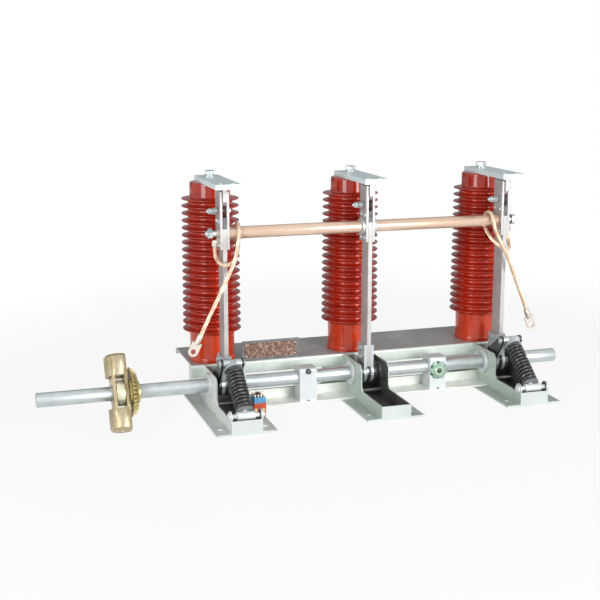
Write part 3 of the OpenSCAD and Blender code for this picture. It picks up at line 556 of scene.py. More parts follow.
def add_noise(tree, ins, detail, roughness):
    """Noise value at the group's place, with no scale of its own."""
    made = tree.nodes.new("ShaderNodeTexNoise")
    made.inputs["Scale"].default_value = 1.0
    made.inputs["Detail"].default_value = detail
    made.inputs["Roughness"].default_value = roughness
    tree.links.new(add_place(tree, ins), made.inputs["Vector"])
    return made.outputs[0]


def add_range(tree, value, low, high):
    """Value spread from a range of links or numbers to 0 to 1, with soft ends."""
    made = tree.nodes.new("ShaderNodeMapRange")
    made.interpolation_type = "SMOOTHSTEP"
    tree.links.new(value, made.inputs["Value"])
    give(tree, made.inputs["From Min"], low)
    give(tree, made.inputs["From Max"], high)
    return made.outputs[0]


def cloudy_tone_group():
    """Soft patches between two colours, with a matching roughness."""
    tree, ins, outs = new_group("Cloudy Tone", ("Colour", "Roughness"), Light=GREY, Dark=GREY, Stretch=EVEN,
                                Scale=20.0, Low=0.35, High=0.75, Smooth=0.3, Rough=0.5)
    tone = add_range(tree, add_noise(tree, ins, 5.0, 0.6), ins["Low"], ins["High"])
    reach = add_math(tree, "SUBTRACT", ins["Rough"], ins["Smooth"])
    rough = add_math(tree, "ADD", ins["Smooth"], add_math(tree, "MULTIPLY", reach, tone))
    tree.links.new(add_mix(tree, tone, ins["Light"], ins["Dark"]), outs["Colour"])
    tree.links.new(rough, outs["Roughness"])
    return tree


def fine_grain_group():
    """Fine grain, brushed where it is stretched, as a height and a faint tint."""
    tree, ins, outs = new_group("Fine Grain", ("Colour", "Height"), Colour=GREY, Tint=GREY, Stretch=EVEN,
                                Scale=400.0, Amount=0.2)
    grain = add_noise(tree, ins, 3.0, 0.55)
    share = add_math(tree, "MULTIPLY", add_range(tree, grain, 0.35, 0.7), ins["Amount"])
    tree.links.new(add_mix(tree, share, ins["Colour"], ins["Tint"]), outs["Colour"])
    tree.links.new(grain, outs["Height"])
    return tree


def spangle_group():
    """Crystal cells of a zinc coat."""
    tree, ins, outs = new_group("Zinc Spangle", ("Colour", "Height"), Colour=GREY, Shade=GREY, Stretch=EVEN,
                                Scale=110.0, Amount=0.4)
    cells = tree.nodes.new("ShaderNodeTexVoronoi")
    cells.inputs["Scale"].default_value = 1.0
    tree.links.new(add_place(tree, ins), cells.inputs["Vector"])
    apart = tree.nodes.new("ShaderNodeSeparateColor")
    tree.links.new(cells.outputs["Color"], apart.inputs[0])
    share = add_math(tree, "MULTIPLY", apart.outputs[0], ins["Amount"])
    tree.links.new(add_mix(tree, share, ins["Colour"], ins["Shade"]), outs["Colour"])
    tree.links.new(apart.outputs[1], outs["Height"])
    return tree


def dust_and_top_shade_group():
    """Dust and painted shade as a darker film on the faces that look up, thin where hands and rags have
    passed.
    """
    tree, ins, outs = new_group("Dust And Top Shade", ("Colour",), Colour=GREY, Dust=GREY, Stretch=EVEN,
                                Scale=9.0, Amount=0.6)
    up = tree.nodes.new("ShaderNodeSeparateXYZ")
    tree.links.new(tree.nodes.new("ShaderNodeNewGeometry").outputs["Normal"], up.inputs[0])
    facing_up = add_range(tree, up.outputs["Z"], 0.75, 0.98)
    patches = add_range(tree, add_noise(tree, ins, 4.0, 0.6), 0.15, 0.5)
    mask = add_math(tree, "MULTIPLY", add_math(tree, "MULTIPLY", facing_up, patches), ins["Amount"])
    tree.links.new(add_mix(tree, mask, ins["Colour"], ins["Dust"]), outs["Colour"])
    return tree


def edge_wear_group():
    """Rubbed edges, broken up by noise."""
    tree, ins, outs = new_group("Edge Wear", ("Colour",), Colour=GREY, Worn=GREY, Stretch=EVEN,
                                Scale=160.0, Amount=0.6)
    edges = add_range(tree, tree.nodes.new("ShaderNodeNewGeometry").outputs["Pointiness"], 0.51, 0.58)
    broken = add_range(tree, add_noise(tree, ins, 3.0, 0.6), 0.3, 0.6)
    mask = add_math(tree, "MULTIPLY", add_math(tree, "MULTIPLY", edges, broken), ins["Amount"])
    tree.links.new(add_mix(tree, mask, ins["Colour"], ins["Worn"]), outs["Colour"])
    return tree


def region_mask_group():
    """Part of a piece past a distance along an axis, which may run to and fro between two folds."""
    tree, ins, outs = new_group("Region Mask", ("Mask",), Axis=(1.0, 0.0, 0.0), Offset=0.0, Fold=10.0,
                                Start=0.01, Stop=0.011)
    place = tree.nodes.new("ShaderNodeTexCoord").outputs["Object"]
    way = add_math(tree, "SUBTRACT", add_vector_math(tree, "DOT_PRODUCT", place, ins["Axis"]), ins["Offset"])
    folded = add_math(tree, "PINGPONG", way, ins["Fold"])
    tree.links.new(add_range(tree, folded, ins["Start"], ins["Stop"]), outs["Mask"])
    return tree


GROUP_MAKERS = {
    "Cloudy Tone": cloudy_tone_group,
    "Fine Grain": fine_grain_group,
    "Zinc Spangle": spangle_group,
    "Dust And Top Shade": dust_and_top_shade_group,
    "Edge Wear": edge_wear_group,
    "Region Mask": region_mask_group,
}


RELIEF_DEPTH = 0.0002

# Widths of the borders between two colours of one piece, in metres
BORDER = 0.0006
FINE_BORDER = 0.0002
CAST_BORDER = 0.004
# Where the painted shade in a foot fades out, from the insulators' middle towards the back
SHADE_FADE = (-0.075, 0.02)


class Finish:
    """A material whose shader takes its colour, roughness and relief from shared groups."""

    def __init__(self, name, metallic, **sockets):
        self.material = bpy.data.materials.new(name)
        self.material.use_nodes = True
        self.tree = self.material.node_tree
        self.shader = self.tree.nodes["Principled BSDF"]
        self.shader.inputs["Metallic"].default_value = metallic
        for socket, value in sockets.items():
            self.shader.inputs[socket.replace("_", " ")].default_value = value
        self.colour = None

    def place(self, name, **values):
        """Places a shared group with its own values."""
        made = self.tree.nodes.new("ShaderNodeGroup")
        made.node_tree = bpy.data.node_groups.get(name) or GROUP_MAKERS[name]()
        for socket, value in values.items():
            plain = list(value) if hasattr(value, "__len__") else value
            if made.inputs[socket].type == "RGBA":
                plain = [*plain, 1.0]
            made.inputs[socket].default_value = plain
        return made

    def group(self, name, **values):
        """Places a group that tints, feeds it the colour so far and takes its colour on."""
        made = self.place(name, **values)
        if self.colour is not None and "Colour" in made.inputs:
            self.tree.links.new(self.colour, made.inputs["Colour"])
        self.colour = made.outputs["Colour"]
        return made

    def mask(self, **values):
        """Mask of a region of the piece."""
        return self.place("Region Mask", **values).outputs["Mask"]

    def tone(self, light, dark, **values):
        """Colour of two cloudy tones."""
        return self.group("Cloudy Tone", Light=light, Dark=dark, **values).outputs["Colour"]

    def done(self, cloud, grain, strength):
        """Joins colour, roughness and relief to the shader and gives the material."""
        bump = self.tree.nodes.new("ShaderNodeBump")
        bump.inputs["Strength"].default_value = strength
        bump.inputs["Distance"].default_value = RELIEF_DEPTH
        self.tree.links.new(grain.outputs["Height"], bump.inputs["Height"])
        self.tree.links.new(bump.outputs[0], self.shader.inputs["Normal"])
        self.tree.links.new(cloud.outputs["Roughness"], self.shader.inputs["Roughness"])
        self.tree.links.new(self.colour, self.shader.inputs["Base Color"])
        return self.material


def zinc_coat(finish, light, dark):
    """Cloudy tone and spangle of plated sheet."""
    cloud = finish.group("Cloudy Tone", Light=light, Dark=dark, Scale=14.0, Smooth=0.34, Rough=0.52)
    return cloud, finish.group("Zinc Spangle", Shade=dark, Scale=120.0, Amount=0.35)


def sheet_finish(c, name, light, dark, dust_and_top_shade):
    """Plated steel sheet with spangle. Dust and painted shade darken its top."""
    finish = Finish(name, 0.35)
    cloud, spangle = zinc_coat(finish, light, dark)
    finish.group("Fine Grain", Tint=dark, Stretch=ALONG_X, Scale=900.0, Amount=0.25)
    finish.group("Dust And Top Shade", Dust=c.dust_and_top_shade, Amount=dust_and_top_shade)
    return finish.done(cloud, spangle, 0.10)


def foot_finish(c, name, light, dark, fold):
    """Plated sheet of a foot, with painted shade between its walls and behind its front plate, and its front
    plate in a zinc darker than the deck's as painted shade.
    """
    front = -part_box("foot_middle")[0].y - FOOT_FRONT_PLATE
    finish = Finish(name, 0.3)
    cloud, spangle = zinc_coat(finish, light, dark)
    # Dust and painted shade on the faces that look up
    walls = finish.group("Dust And Top Shade", Dust=c.dust_and_top_shade, Amount=0.5).outputs["Colour"]
    # Front plate in its own darker zinc, as painted shade
    plate = finish.tone(c.front, c.front_shade, Scale=14.0)
    # Painted shade between the walls, fading out towards the back
    painted_shade = finish.tone(c.painted_shade, c.painted_shade_deep, Scale=40.0)
    outside = finish.mask(Axis=AXIS_X, Fold=fold, Start=FOOT_WALL_INSIDE, Stop=FOOT_WALL_INSIDE + BORDER)
    ahead = finish.mask(Axis=-AXIS_Y, Start=front, Stop=front + 2 * FINE_BORDER)
    rear = finish.mask(Axis=AXIS_Y, Offset=-front, Start=front + SHADE_FADE[0], Stop=front + SHADE_FADE[1])
    kept = add_math(finish.tree, "MAXIMUM", outside, rear)
    inside = add_mix(finish.tree, kept, painted_shade, walls)
    finish.colour = add_mix(finish.tree, ahead, inside, plate)
    return finish.done(cloud, spangle, 0.10)


def plain_finish(name, light, dark, metallic=0.7, patch=26.0, patch_stretch=EVEN, low=0.35, high=0.75,
                 smooth=0.24, rough=0.42, grain=700.0, grain_stretch=ALONG_X, tint=None, amount=0.35,
                 relief=0.05, worn=None, **sockets):
    """Metal or plastic with dull patches and a fine grain, rubbed bright at its edges where worn."""
    finish = Finish(name, metallic, **sockets)
    cloud = finish.group("Cloudy Tone", Light=light, Dark=dark, Stretch=patch_stretch, Scale=patch,
                         Low=low, High=high, Smooth=smooth, Rough=rough)
    fine = finish.group("Fine Grain", Tint=dark if tint is None else tint, Stretch=grain_stretch,
                        Scale=grain, Amount=amount)
    if worn is not None:
        finish.group("Edge Wear", Worn=worn, Amount=0.5)
    return finish.done(cloud, fine, relief)


def two_tone_finish(name, near, far, axis, offset, start, metallic=0.5):
    """One pair of colours up to a distance along an axis, and another past it."""
    finish = Finish(name, metallic)
    cloud = finish.group("Cloudy Tone", Light=near[0], Dark=near[1], Scale=26.0, Smooth=0.38, Rough=0.54)
    first = finish.colour
    second = finish.tone(*far, Scale=60.0)
    past = finish.mask(Axis=axis, Offset=offset, Start=start, Stop=start + BORDER)
    finish.colour = add_mix(finish.tree, past, first, second)
    fine = finish.group("Fine Grain", Tint=near[1], Stretch=EVEN, Scale=900.0, Amount=0.12)
    return finish.done(cloud, fine, 0.06)


def hub_finish(c, fold):
    """Hubs and cranks dark as painted shade, with bright lugs beside the blade."""
    start, stop = LUG_FACES
    finish = Finish("Hub steel", 0.5)
    pale = finish.group("Cloudy Tone", Light=c.bright, Dark=c.bright_shade, Scale=26.0, Smooth=0.26,
                        Rough=0.44)
    bright = finish.colour
    # Painted shade on the hubs and cranks outside the lugs
    black_and_shade = finish.tone(c.blackened_and_shade, c.blackened_worn, Scale=60.0, Low=0.5, High=0.95)
    inner = finish.mask(Axis=AXIS_X, Fold=fold, Start=start - FINE_BORDER, Stop=start)
    outer = finish.mask(Axis=AXIS_X, Fold=fold, Start=stop, Stop=stop + FINE_BORDER)
    lugs = add_mix(finish.tree, inner, black_and_shade, bright)
    finish.colour = add_mix(finish.tree, outer, lugs, black_and_shade)
    fine = finish.group("Fine Grain", Tint=c.bright_shade, Stretch=EVEN, Scale=900.0, Amount=0.12)
    return finish.done(pale, fine, 0.06)


def resin_finish(c, base_top):
    """Glossy cast resin with faint flow marks, and painted light on the plain base, which is lighter than
    the sheds that shade each other.
    """
    flow = {"Stretch": (1.0, 1.0, 2.5), "Scale": 30.0}
    finish = Finish("Red resin", 0.0, Specular_IOR_Level=0.55)
    # Painted light on the plain base
    base = finish.tone(c.lit_resin_base, c.lit_resin_base_deep, **flow)
    cloud = finish.group("Cloudy Tone", Light=c.resin, Dark=c.resin_deep, Smooth=0.08, Rough=0.15, **flow)
    above = finish.mask(Axis=AXIS_Z, Start=base_top - CAST_BORDER, Stop=base_top + CAST_BORDER)
    finish.colour = add_mix(finish.tree, above, base, finish.colour)
    grain = finish.group("Fine Grain", Tint=c.resin_deep, Stretch=EVEN, Scale=500.0, Amount=0.2)
    return finish.done(cloud, grain, 0.03)


def plastic_finish(name, tone):
    """Moulded plastic with a fine texture."""
    deep = [value * 0.7 for value in tone]
    return plain_finish(name, tone, deep, metallic=0.0, patch=120.0, smooth=0.32, rough=0.48, grain=1500.0,
                        grain_stretch=EVEN, amount=0.25, relief=0.15)


# Finishes in each slot of the record
SLOT_FINISHES = {
    "zinc_sheet": ("deck_sheet", "foot_sheet", "painted_lit_foot", "rail_sheet", "dull"),
    "zinc_bright": ("bright", "hub", "blackened_and_shade", "cover", "cover_ring", "pale", "guide"),
    "silvered_copper": ("blade", "silvered", "bar"),
    "red_resin": ("resin",),
    "copper": ("copper", "eye"),
    "copper_braid": ("braid",),
    "tinned_copper": ("tinned",),
    "yellow_zinc": ("casting", "wheel", "collar"),
    "black_spring": ("spring",),
    "bare_plate": ("plate",),
    "blue_plastic": ("blue",),
    "orange_plastic": ("orange",),
}
FINISH_SLOTS = {finish: slot for slot, names in SLOT_FINISHES.items() for finish in names}


def finishes():
    """All finishes by name, made once."""
    if not finishes.made:
        c = bpy.context.scene.switch_colours
        fold = (POLE_X["right"] - POLE_X["middle"]) / 2
        axis = -Vector(JOINTS["left_spring_press"]["axis"]).normalized()
        pivot = Vector(JOINTS["left_guide_tilt"]["pos_m"])
        base_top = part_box("insulator_middle")[0].z + bpy.context.scene.switch_sizes.plain_base
        black_and_shade = (c.blackened_and_shade, c.blackened_worn)
        finishes.made = {
            "deck_sheet": sheet_finish(c, "Deck sheet", c.zinc, c.zinc_shade, 1.0),
            "foot_sheet": foot_finish(c, "Foot sheet", c.foot, c.foot_shade, fold),
            # The left foot's lighter sheet is painted light
            "painted_lit_foot": foot_finish(c, "Painted lit foot sheet", c.painted_lit_foot, c.painted_lit_foot_shade, fold),
            # The rails' top edge takes the painted shade colours, as painted shadow
            "rail_sheet": two_tone_finish("Rail sheet", (c.rail, c.rail_shade), (c.painted_shade, c.painted_shade_deep),
                                          AXIS_Z, 0.0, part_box("tie_rails")[1].z - RAIL_TOP_EDGE,
                                          metallic=0.2),
            "dull": plain_finish("Dull steel", c.dull, c.dull_shade, metallic=0.3, rough=0.55),
            "bright": plain_finish("Bright zinc", c.bright, c.bright_shade, smooth=0.3, rough=0.48),
            "pale": plain_finish("Pale zinc", c.pale, c.pale_shade, metallic=0.25, smooth=0.3, rough=0.5),
            # A spring guide is bright at its end by the pivot, and dark past it as painted shade inside the
            # spring
            "guide": two_tone_finish("Guide steel", (c.pale, c.pale_shade), black_and_shade, axis, pivot.dot(axis),
                                     GUIDE_BARREL, metallic=0.35),
            # A blade's end in the fork is dark as painted shade
            "blade": two_tone_finish("Silvered blade", (c.silvered, c.silvered_shade), black_and_shade, AXIS_Z, 0.0,
                                     TUBE_AXIS.z + BLADE_SHADE_START, metallic=0.35),
            "hub": hub_finish(c, fold),
            "blackened_and_shade": plain_finish("Blackened steel", *black_and_shade, metallic=0.4, patch=60.0,
                                      grain_stretch=EVEN, smooth=0.3, rough=0.5),
            "cover": plain_finish("Green cover", c.cover, c.cover_shade, metallic=0.3, patch=90.0),
            "cover_ring": plain_finish("Pale green ring", c.cover_ring, c.cover, metallic=0.3, patch=90.0),
            "resin": resin_finish(c, base_top),
            "silvered": plain_finish("Silvered copper", c.silvered, c.silvered_shade, metallic=0.45,
                                     grain_stretch=ALONG_Z, grain=900.0, smooth=0.34, rough=0.5),
            "bar": plain_finish("Tinned bar", c.bar, c.bar_shade, metallic=0.25, grain_stretch=ALONG_Y,
                                smooth=0.42, rough=0.56),
            "copper": plain_finish("Copper tube", c.copper, c.copper_shade, metallic=0.45, patch=32.0,
                                   patch_stretch=(0.25, 1.0, 1.0), smooth=0.2, rough=0.34,
                                   Coat_Weight=0.8, Coat_Roughness=0.22),
            "braid": plain_finish("Copper strands", c.braid, c.braid_shade, metallic=0.75, patch=90.0,
                                  grain=1500.0, grain_stretch=EVEN, smooth=0.3, rough=0.55, relief=0.15),
            "tinned": plain_finish("Tinned copper", c.tinned, c.tinned_shade, patch=70.0,
                                   grain_stretch=EVEN),
            "eye": plain_finish("Copper eyes", c.tinned, c.copper_shade, patch=70.0, grain_stretch=EVEN),
            "casting": plain_finish("Drive casting", c.casting, c.casting_shade, metallic=0.6, patch=34.0,
                                    grain=420.0, grain_stretch=EVEN, smooth=0.3, rough=0.55, relief=0.3,
                                    worn=c.bright),
            "wheel": plain_finish("Bevel wheel", c.wheel, c.wheel_shade, patch=40.0, grain_stretch=EVEN,
                                  smooth=0.26, rough=0.5, worn=c.collar),
            "collar": plain_finish("Pale collar", c.collar, c.collar_shade, metallic=0.55, patch=40.0),
            # The spring's light patches are part wear and part painted highlight
            "spring": plain_finish("Black spring", c.spring, c.spring_wear_and_highlight, metallic=0.3, patch=120.0,
                                   low=0.46, high=0.95, smooth=0.3, rough=0.5, grain=1200.0,
                                   grain_stretch=EVEN, amount=0.15, relief=0.15),
            "plate": plain_finish("Bare plate", c.plate, c.plate_stain, metallic=0.4, patch=150.0, low=0.45,
                                  high=0.62, smooth=0.3, rough=0.5, grain=420.0, grain_stretch=EVEN,
                                  tint=c.dull, amount=0.5, relief=0.2),
            "blue": plastic_finish("Blue plastic", c.blue),
            "orange": plastic_finish("Orange plastic", c.orange),
        }
    return finishes.made


finishes.made = {}


def finish_shape(shape, name, finish, body):
    """Makes a piece in one of the finishes."""
    return shape.piece(name, finishes()[finish], body, FINISH_SLOTS[finish])


# Operators


FLOOR_REACH = 4.0
FLOOR_GAP = 0.0002
FLOOR_GLOW = 0.90
FLOOR_FADE = 0.10
FLOOR_NEAR = 0.7
FLOOR_FAR = 1.5
FLOOR_COLOUR = (0.75, 0.75, 0.75, 1.0)
SCREEN_EDGE = 0.35
SCREEN_MIDDLE = 0.85
LAMP_TARGET = Vector((-0.1, -0.1, 0.22))
WHITE = (1.0, 1.0, 1.0, 1.0)


class SWITCH_OT_stage(Operator):
    """Camera, white surroundings, floor and two tall soft lights"""

    bl_idname = "switch.stage"
    bl_label = "Stage"

    def execute(self, context):
        settings = context.scene.switch_stage
        context.scene.view_settings.view_transform = "Standard"
        self.camera(context, settings)
        self.world(context, settings)
        self.floor(context, settings)
        self.lamp(context, "Left light", place=(-2.05, -1.45, 0.80), wide=1.0, tall=1.5,
                  power=settings.left_light)
        self.lamp(context, "Right light", place=(0.78, -2.42, 0.80), wide=1.1, tall=1.4,
                  power=settings.right_light)
        return {"FINISHED"}

    def camera(self, context, settings):
        """Camera at the photograph's viewing angle."""
        data = bpy.data.cameras.new("Camera")
        data.sensor_width = 36.0
        data.lens = settings.lens
        camera = bpy.data.objects.new("Camera", data)
        camera.location = settings.camera_place
        camera.rotation_euler = (math.radians(90) - settings.camera_down, 0, -settings.camera_turn)
        context.scene.collection.objects.link(camera)
        context.scene.camera = camera

    def seen_directly(self, tree):
        """One where a ray comes from the camera, a mirror or glass."""
        path = tree.nodes.new("ShaderNodeLightPath")
        some = add_math(tree, "MAXIMUM", path.outputs["Is Camera Ray"], path.outputs["Is Glossy Ray"])
        return add_math(tree, "MAXIMUM", some, path.outputs["Is Transmission Ray"])

    def world(self, context, settings):
        """White surroundings, with a dark screen far behind that shows in mirrored light alone."""
        world = bpy.data.worlds.new("Studio")
        context.scene.world = world
        world.use_nodes = True
        tree = world.node_tree
        light = tree.nodes["Background"]
        light.inputs["Color"].default_value = WHITE
        light.inputs["Strength"].default_value = settings.sky
        white = tree.nodes.new("ShaderNodeBackground")
        white.inputs["Color"].default_value = WHITE
        way = tree.nodes.new("ShaderNodeSeparateXYZ")
        tree.links.new(tree.nodes.new("ShaderNodeTexCoord").outputs["Generated"], way.inputs[0])
        far = add_range(tree, way.outputs["Y"], SCREEN_EDGE, SCREEN_MIDDLE)
        behind = add_math(tree, "MULTIPLY", far, settings.screen)
        mirrored = tree.nodes.new("ShaderNodeLightPath").outputs["Is Glossy Ray"]
        dimmed = add_math(tree, "SUBTRACT", 1.0, add_math(tree, "MULTIPLY", behind, mirrored))
        tree.links.new(dimmed, white.inputs["Strength"])
        mix = tree.nodes.new("ShaderNodeMixShader")
        tree.links.new(self.seen_directly(tree), mix.inputs[0])
        tree.links.new(light.outputs[0], mix.inputs[1])
        tree.links.new(white.outputs[0], mix.inputs[2])
        tree.links.new(mix.outputs[0], tree.nodes["World Output"].inputs["Surface"])

    def floor(self, context, settings):
        """Wide floor under the feet that dips smoothly below the drive at the left."""
        foot_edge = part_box("foot_left")[0].x
        dip = (foot_edge - 0.01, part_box("bevel_wheel")[1].x - 0.005)
        slope = [dip[0] + (dip[1] - dip[0]) * k / 12 for k in range(13)]
        across = [FLOOR_REACH, foot_edge] + slope + [-FLOOR_REACH]
        rows = []
        shape = bmesh.new()
        for x in across:
            share = min(1.0, max(0.0, (x - dip[0]) / (dip[1] - dip[0])))
            z = -settings.ledge_drop * share * share * (3 - 2 * share) - FLOOR_GAP
            rows.append([shape.verts.new((x, y, z)) for y in (-FLOOR_REACH, FLOOR_REACH)])
        for first, second in zip(rows, rows[1:]):
            shape.faces.new((first[0], first[1], second[1], second[0]))
        data = bpy.data.meshes.new("Floor")
        shape.to_mesh(data)
        shape.free()
        data.shade_smooth()
        data.materials.append(self.floor_finish())
        floor = bpy.data.objects.new("Floor", data)
        context.scene.collection.objects.link(floor)

    def floor_finish(self):
        """Pale floor that looks nearly white and keeps a faint shadow."""
        material = bpy.data.materials.new("Pale floor")
        material.use_nodes = True
        tree = material.node_tree
        shader = tree.nodes["Principled BSDF"]
        shader.inputs["Base Color"].default_value = FLOOR_COLOUR
        shader.inputs["Roughness"].default_value = 0.9
        shader.inputs["Specular IOR Level"].default_value = 0.1
        glow = tree.nodes.new("ShaderNodeEmission")
        glow.inputs["Color"].default_value = WHITE
        mix = tree.nodes.new("ShaderNodeMixShader")
        away = tree.nodes.new("ShaderNodeVectorMath")
        away.operation = "LENGTH"
        tree.links.new(tree.nodes.new("ShaderNodeTexCoord").outputs["Object"], away.inputs[0])
        distance = add_range(tree, away.outputs["Value"], FLOOR_NEAR, FLOOR_FAR)
        glowing = add_math(tree, "ADD", add_math(tree, "MULTIPLY", distance, FLOOR_FADE), FLOOR_GLOW)
        share = add_math(tree, "MULTIPLY", self.seen_directly(tree), glowing)
        tree.links.new(share, mix.inputs[0])
        tree.links.new(shader.outputs[0], mix.inputs[1])
        tree.links.new(glow.outputs[0], mix.inputs[2])
        tree.links.new(mix.outputs[0], tree.nodes["Material Output"].inputs["Surface"])
        return material

    def lamp(self, context, name, place, wide, tall, power):
        """Soft rectangular light that faces the switch."""
        data = bpy.data.lights.new(name, "AREA")
        data.shape = "RECTANGLE"
        data.size = wide
        data.size_y = tall
        data.energy = power
        lamp = bpy.data.objects.new(name, data)
        lamp.location = place
        lamp.rotation_euler = (LAMP_TARGET - Vector(place)).to_track_quat("-Z", "Y").to_euler()
        context.scene.collection.objects.link(lamp)


# Knot of the left earth lead from its eye round the tube, in metres from the stud's axis at the pole
LEAD_KNOT = (
    (-0.016, 0, -0.025), (-0.016, 0, -0.035), (-0.0155, -0.006, -0.046), (-0.012, -0.017, -0.054),
    (-0.0045, -0.026, -0.058), (0.004, -0.029, -0.057), (0.013, -0.027, -0.053), (0.021, -0.020, -0.045),
    (0.027, -0.009, -0.035), (0.030, 0.003, -0.024), (0.031, 0.013, -0.014), (0.031, 0.0175, -0.004),
    (0.0305, 0.016, 0.007), (0.030, 0.009, 0.015), (0.0295, -0.001, 0.018), (0.029, -0.011, 0.015),
    (0.028, -0.018, 0.006), (0.027, -0.021, -0.005))
# Free end of each lead, from its knot to its lug
LEAD_ENDS = {
    "left": (
        (0.025, -0.024, -0.017), (0.0215, -0.028, -0.030), (0.017, -0.032, -0.044),
        (0.011, -0.035, -0.058), (0, -0.037, -0.080), (-0.0125, -0.037, -0.105),
        (-0.025, -0.037, -0.130), (-0.0375, -0.037, -0.155), (-0.0475, -0.037, -0.175),
        (-0.055, -0.037, -0.190)),
    "right": (
        (-0.0245, -0.024, -0.017), (-0.020, -0.028, -0.030), (-0.014, -0.032, -0.044),
        (-0.008, -0.035, -0.058), (0.001, -0.037, -0.078), (0.0115, -0.037, -0.103),
        (0.022, -0.037, -0.128), (0.0325, -0.037, -0.153), (0.041, -0.037, -0.173),
        (0.047, -0.037, -0.188)),
}
LEAD_STEP = 0.0022
LEAD_TWIST = 0.055


class SWITCH_OT_leads(Operator):
    """Stranded earth leads from the tube's end studs to their free lugs"""

    bl_idname = "switch.leads"
    bl_label = "Earth leads"

    def execute(self, context):
        sizes = context.scene.switch_sizes
        for side in OUTER_SIDES:
            start = Vector((POLE_X[side], TUBE_AXIS.y, TUBE_AXIS.z))
            mirror = 1 if side == "left" else -1
            knot = [(x * mirror, y, z) for x, y, z in LEAD_KNOT]
            points = [start + Vector(step) for step in (*knot, *LEAD_ENDS[side])]
            route = smooth_route(points, LEAD_STEP)
            crimps = self.crimps(side, route)
            rope = self.rope(side, route, sizes)
            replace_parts(rope, "lead_" + side)
        return {"FINISHED"}

    def rope(self, side, route, sizes):
        """Outer strands laid round a core."""
        shape = Shape()
        radius = sizes.lead_diameter / 2
        share = math.sin(math.pi / sizes.lead_strands)
        strand = radius * share / (1 + share)
        lay = radius - strand
        twist = 2 * math.pi / LEAD_TWIST
        frames = carried_frames(route)
        for k in range(sizes.lead_strands):
            travelled = 0.0
            line = []
            for i, (point, (_, across, other)) in enumerate(zip(route, frames)):
                if i:
                    travelled += (point - route[i - 1]).length
                a = twist * travelled + 2 * math.pi * k / sizes.lead_strands
                line.append(point + (across * math.cos(a) + other * math.sin(a)) * lay)
            shape.tube(line, strand, 6)
        shape.tube(route, lay - strand * 0.2, 8)
        return finish_shape(shape, "earth_lead_" + side, "braid", "rotor")

    def crimps(self, side, route):
        """Pressed rings on the barrels at both ends of a lead."""
        shape = Shape()
        low = LEAD_BARREL - 0.0002
        high = LEAD_BARREL + 0.0007
        for end, inward, spans in ((route[0], route[0] - route[1], (0.002, 0.006)),
                                   (route[-1], route[-1] - route[-2], (0.003, 0.008, 0.013))):
            place = facing(end, inward)
            for z in spans:
                shape.lathe(place, [(low, z), (high, z + 0.0006), (high, z + 0.0024), (low, z + 0.003)],
                            32, True)
        return finish_shape(shape, "lead_crimps_" + side, "tinned", "rotor")


# Finish of each solid that is kept
NODE_FINISHES = {
    "deck_sheet": ("deck",),
    "foot_sheet": ("foot_middle", "foot_right"),
    "painted_lit_foot": ("foot_left",),
    "rail_sheet": ("tie_rails",),
    "dull": ("plate_bracket",),
    "bright": ("main_shaft", "spring_seat_left", "spring_seat_right", "tube_clamp_rings"),
    "pale": ("mid_bearings", "spring_pivot_pins", "shaft_bushes"),
    "hub": ("hub_left", "hub_middle", "hub_right"),
    "guide": ("guide_left", "guide_right"),
    "bar": ("terminal_bar_left", "terminal_bar_middle", "terminal_bar_right"),
    "silvered": ("fixed_contacts", "fork_left", "fork_middle", "fork_right"),
    "blade": ("blade_left", "blade_middle", "blade_right"),
    "copper": ("cross_tube",),
    "eye": ("lead_eyes",),
    "tinned": ("lead_lug_left", "lead_lug_right"),
    "casting": ("gear_yoke",),
    "wheel": ("bevel_wheel",),
    "collar": ("yoke_collar",),
    "plate": ("rating_plate",),
}
CAST_NODES = ("gear_yoke",)


class SWITCH_OT_finishes(Operator):
    """Finishes and rounded edges on the solids that are kept"""

    bl_idname = "switch.finishes"
    bl_label = "Finishes"

    def execute(self, context):
        sizes = context.scene.switch_sizes
        for finish, names in NODE_FINISHES.items():
            for name in names:
                solid = frame["nodes"][name]
                solid.data.materials.clear()
                solid.data.materials.append(finishes()[finish])
                self.round_edges(solid, sizes.cast_round if name in CAST_NODES else sizes.edge_round)
        return {"FINISHED"}

    def round_edges(self, solid, width):
        """Joins the faces of a solid and rounds its sharp edges."""
        weld = solid.modifiers.new("Join faces", "WELD")
        weld.merge_threshold = 1e-6
        bevel = solid.modifiers.new("Round edges", "BEVEL")
        bevel.limit_method = "ANGLE"
        bevel.angle_limit = math.radians(32)
        bevel.width = width
        bevel.segments = 2
        bevel.use_clamp_overlap = True
        bevel.harden_normals = True


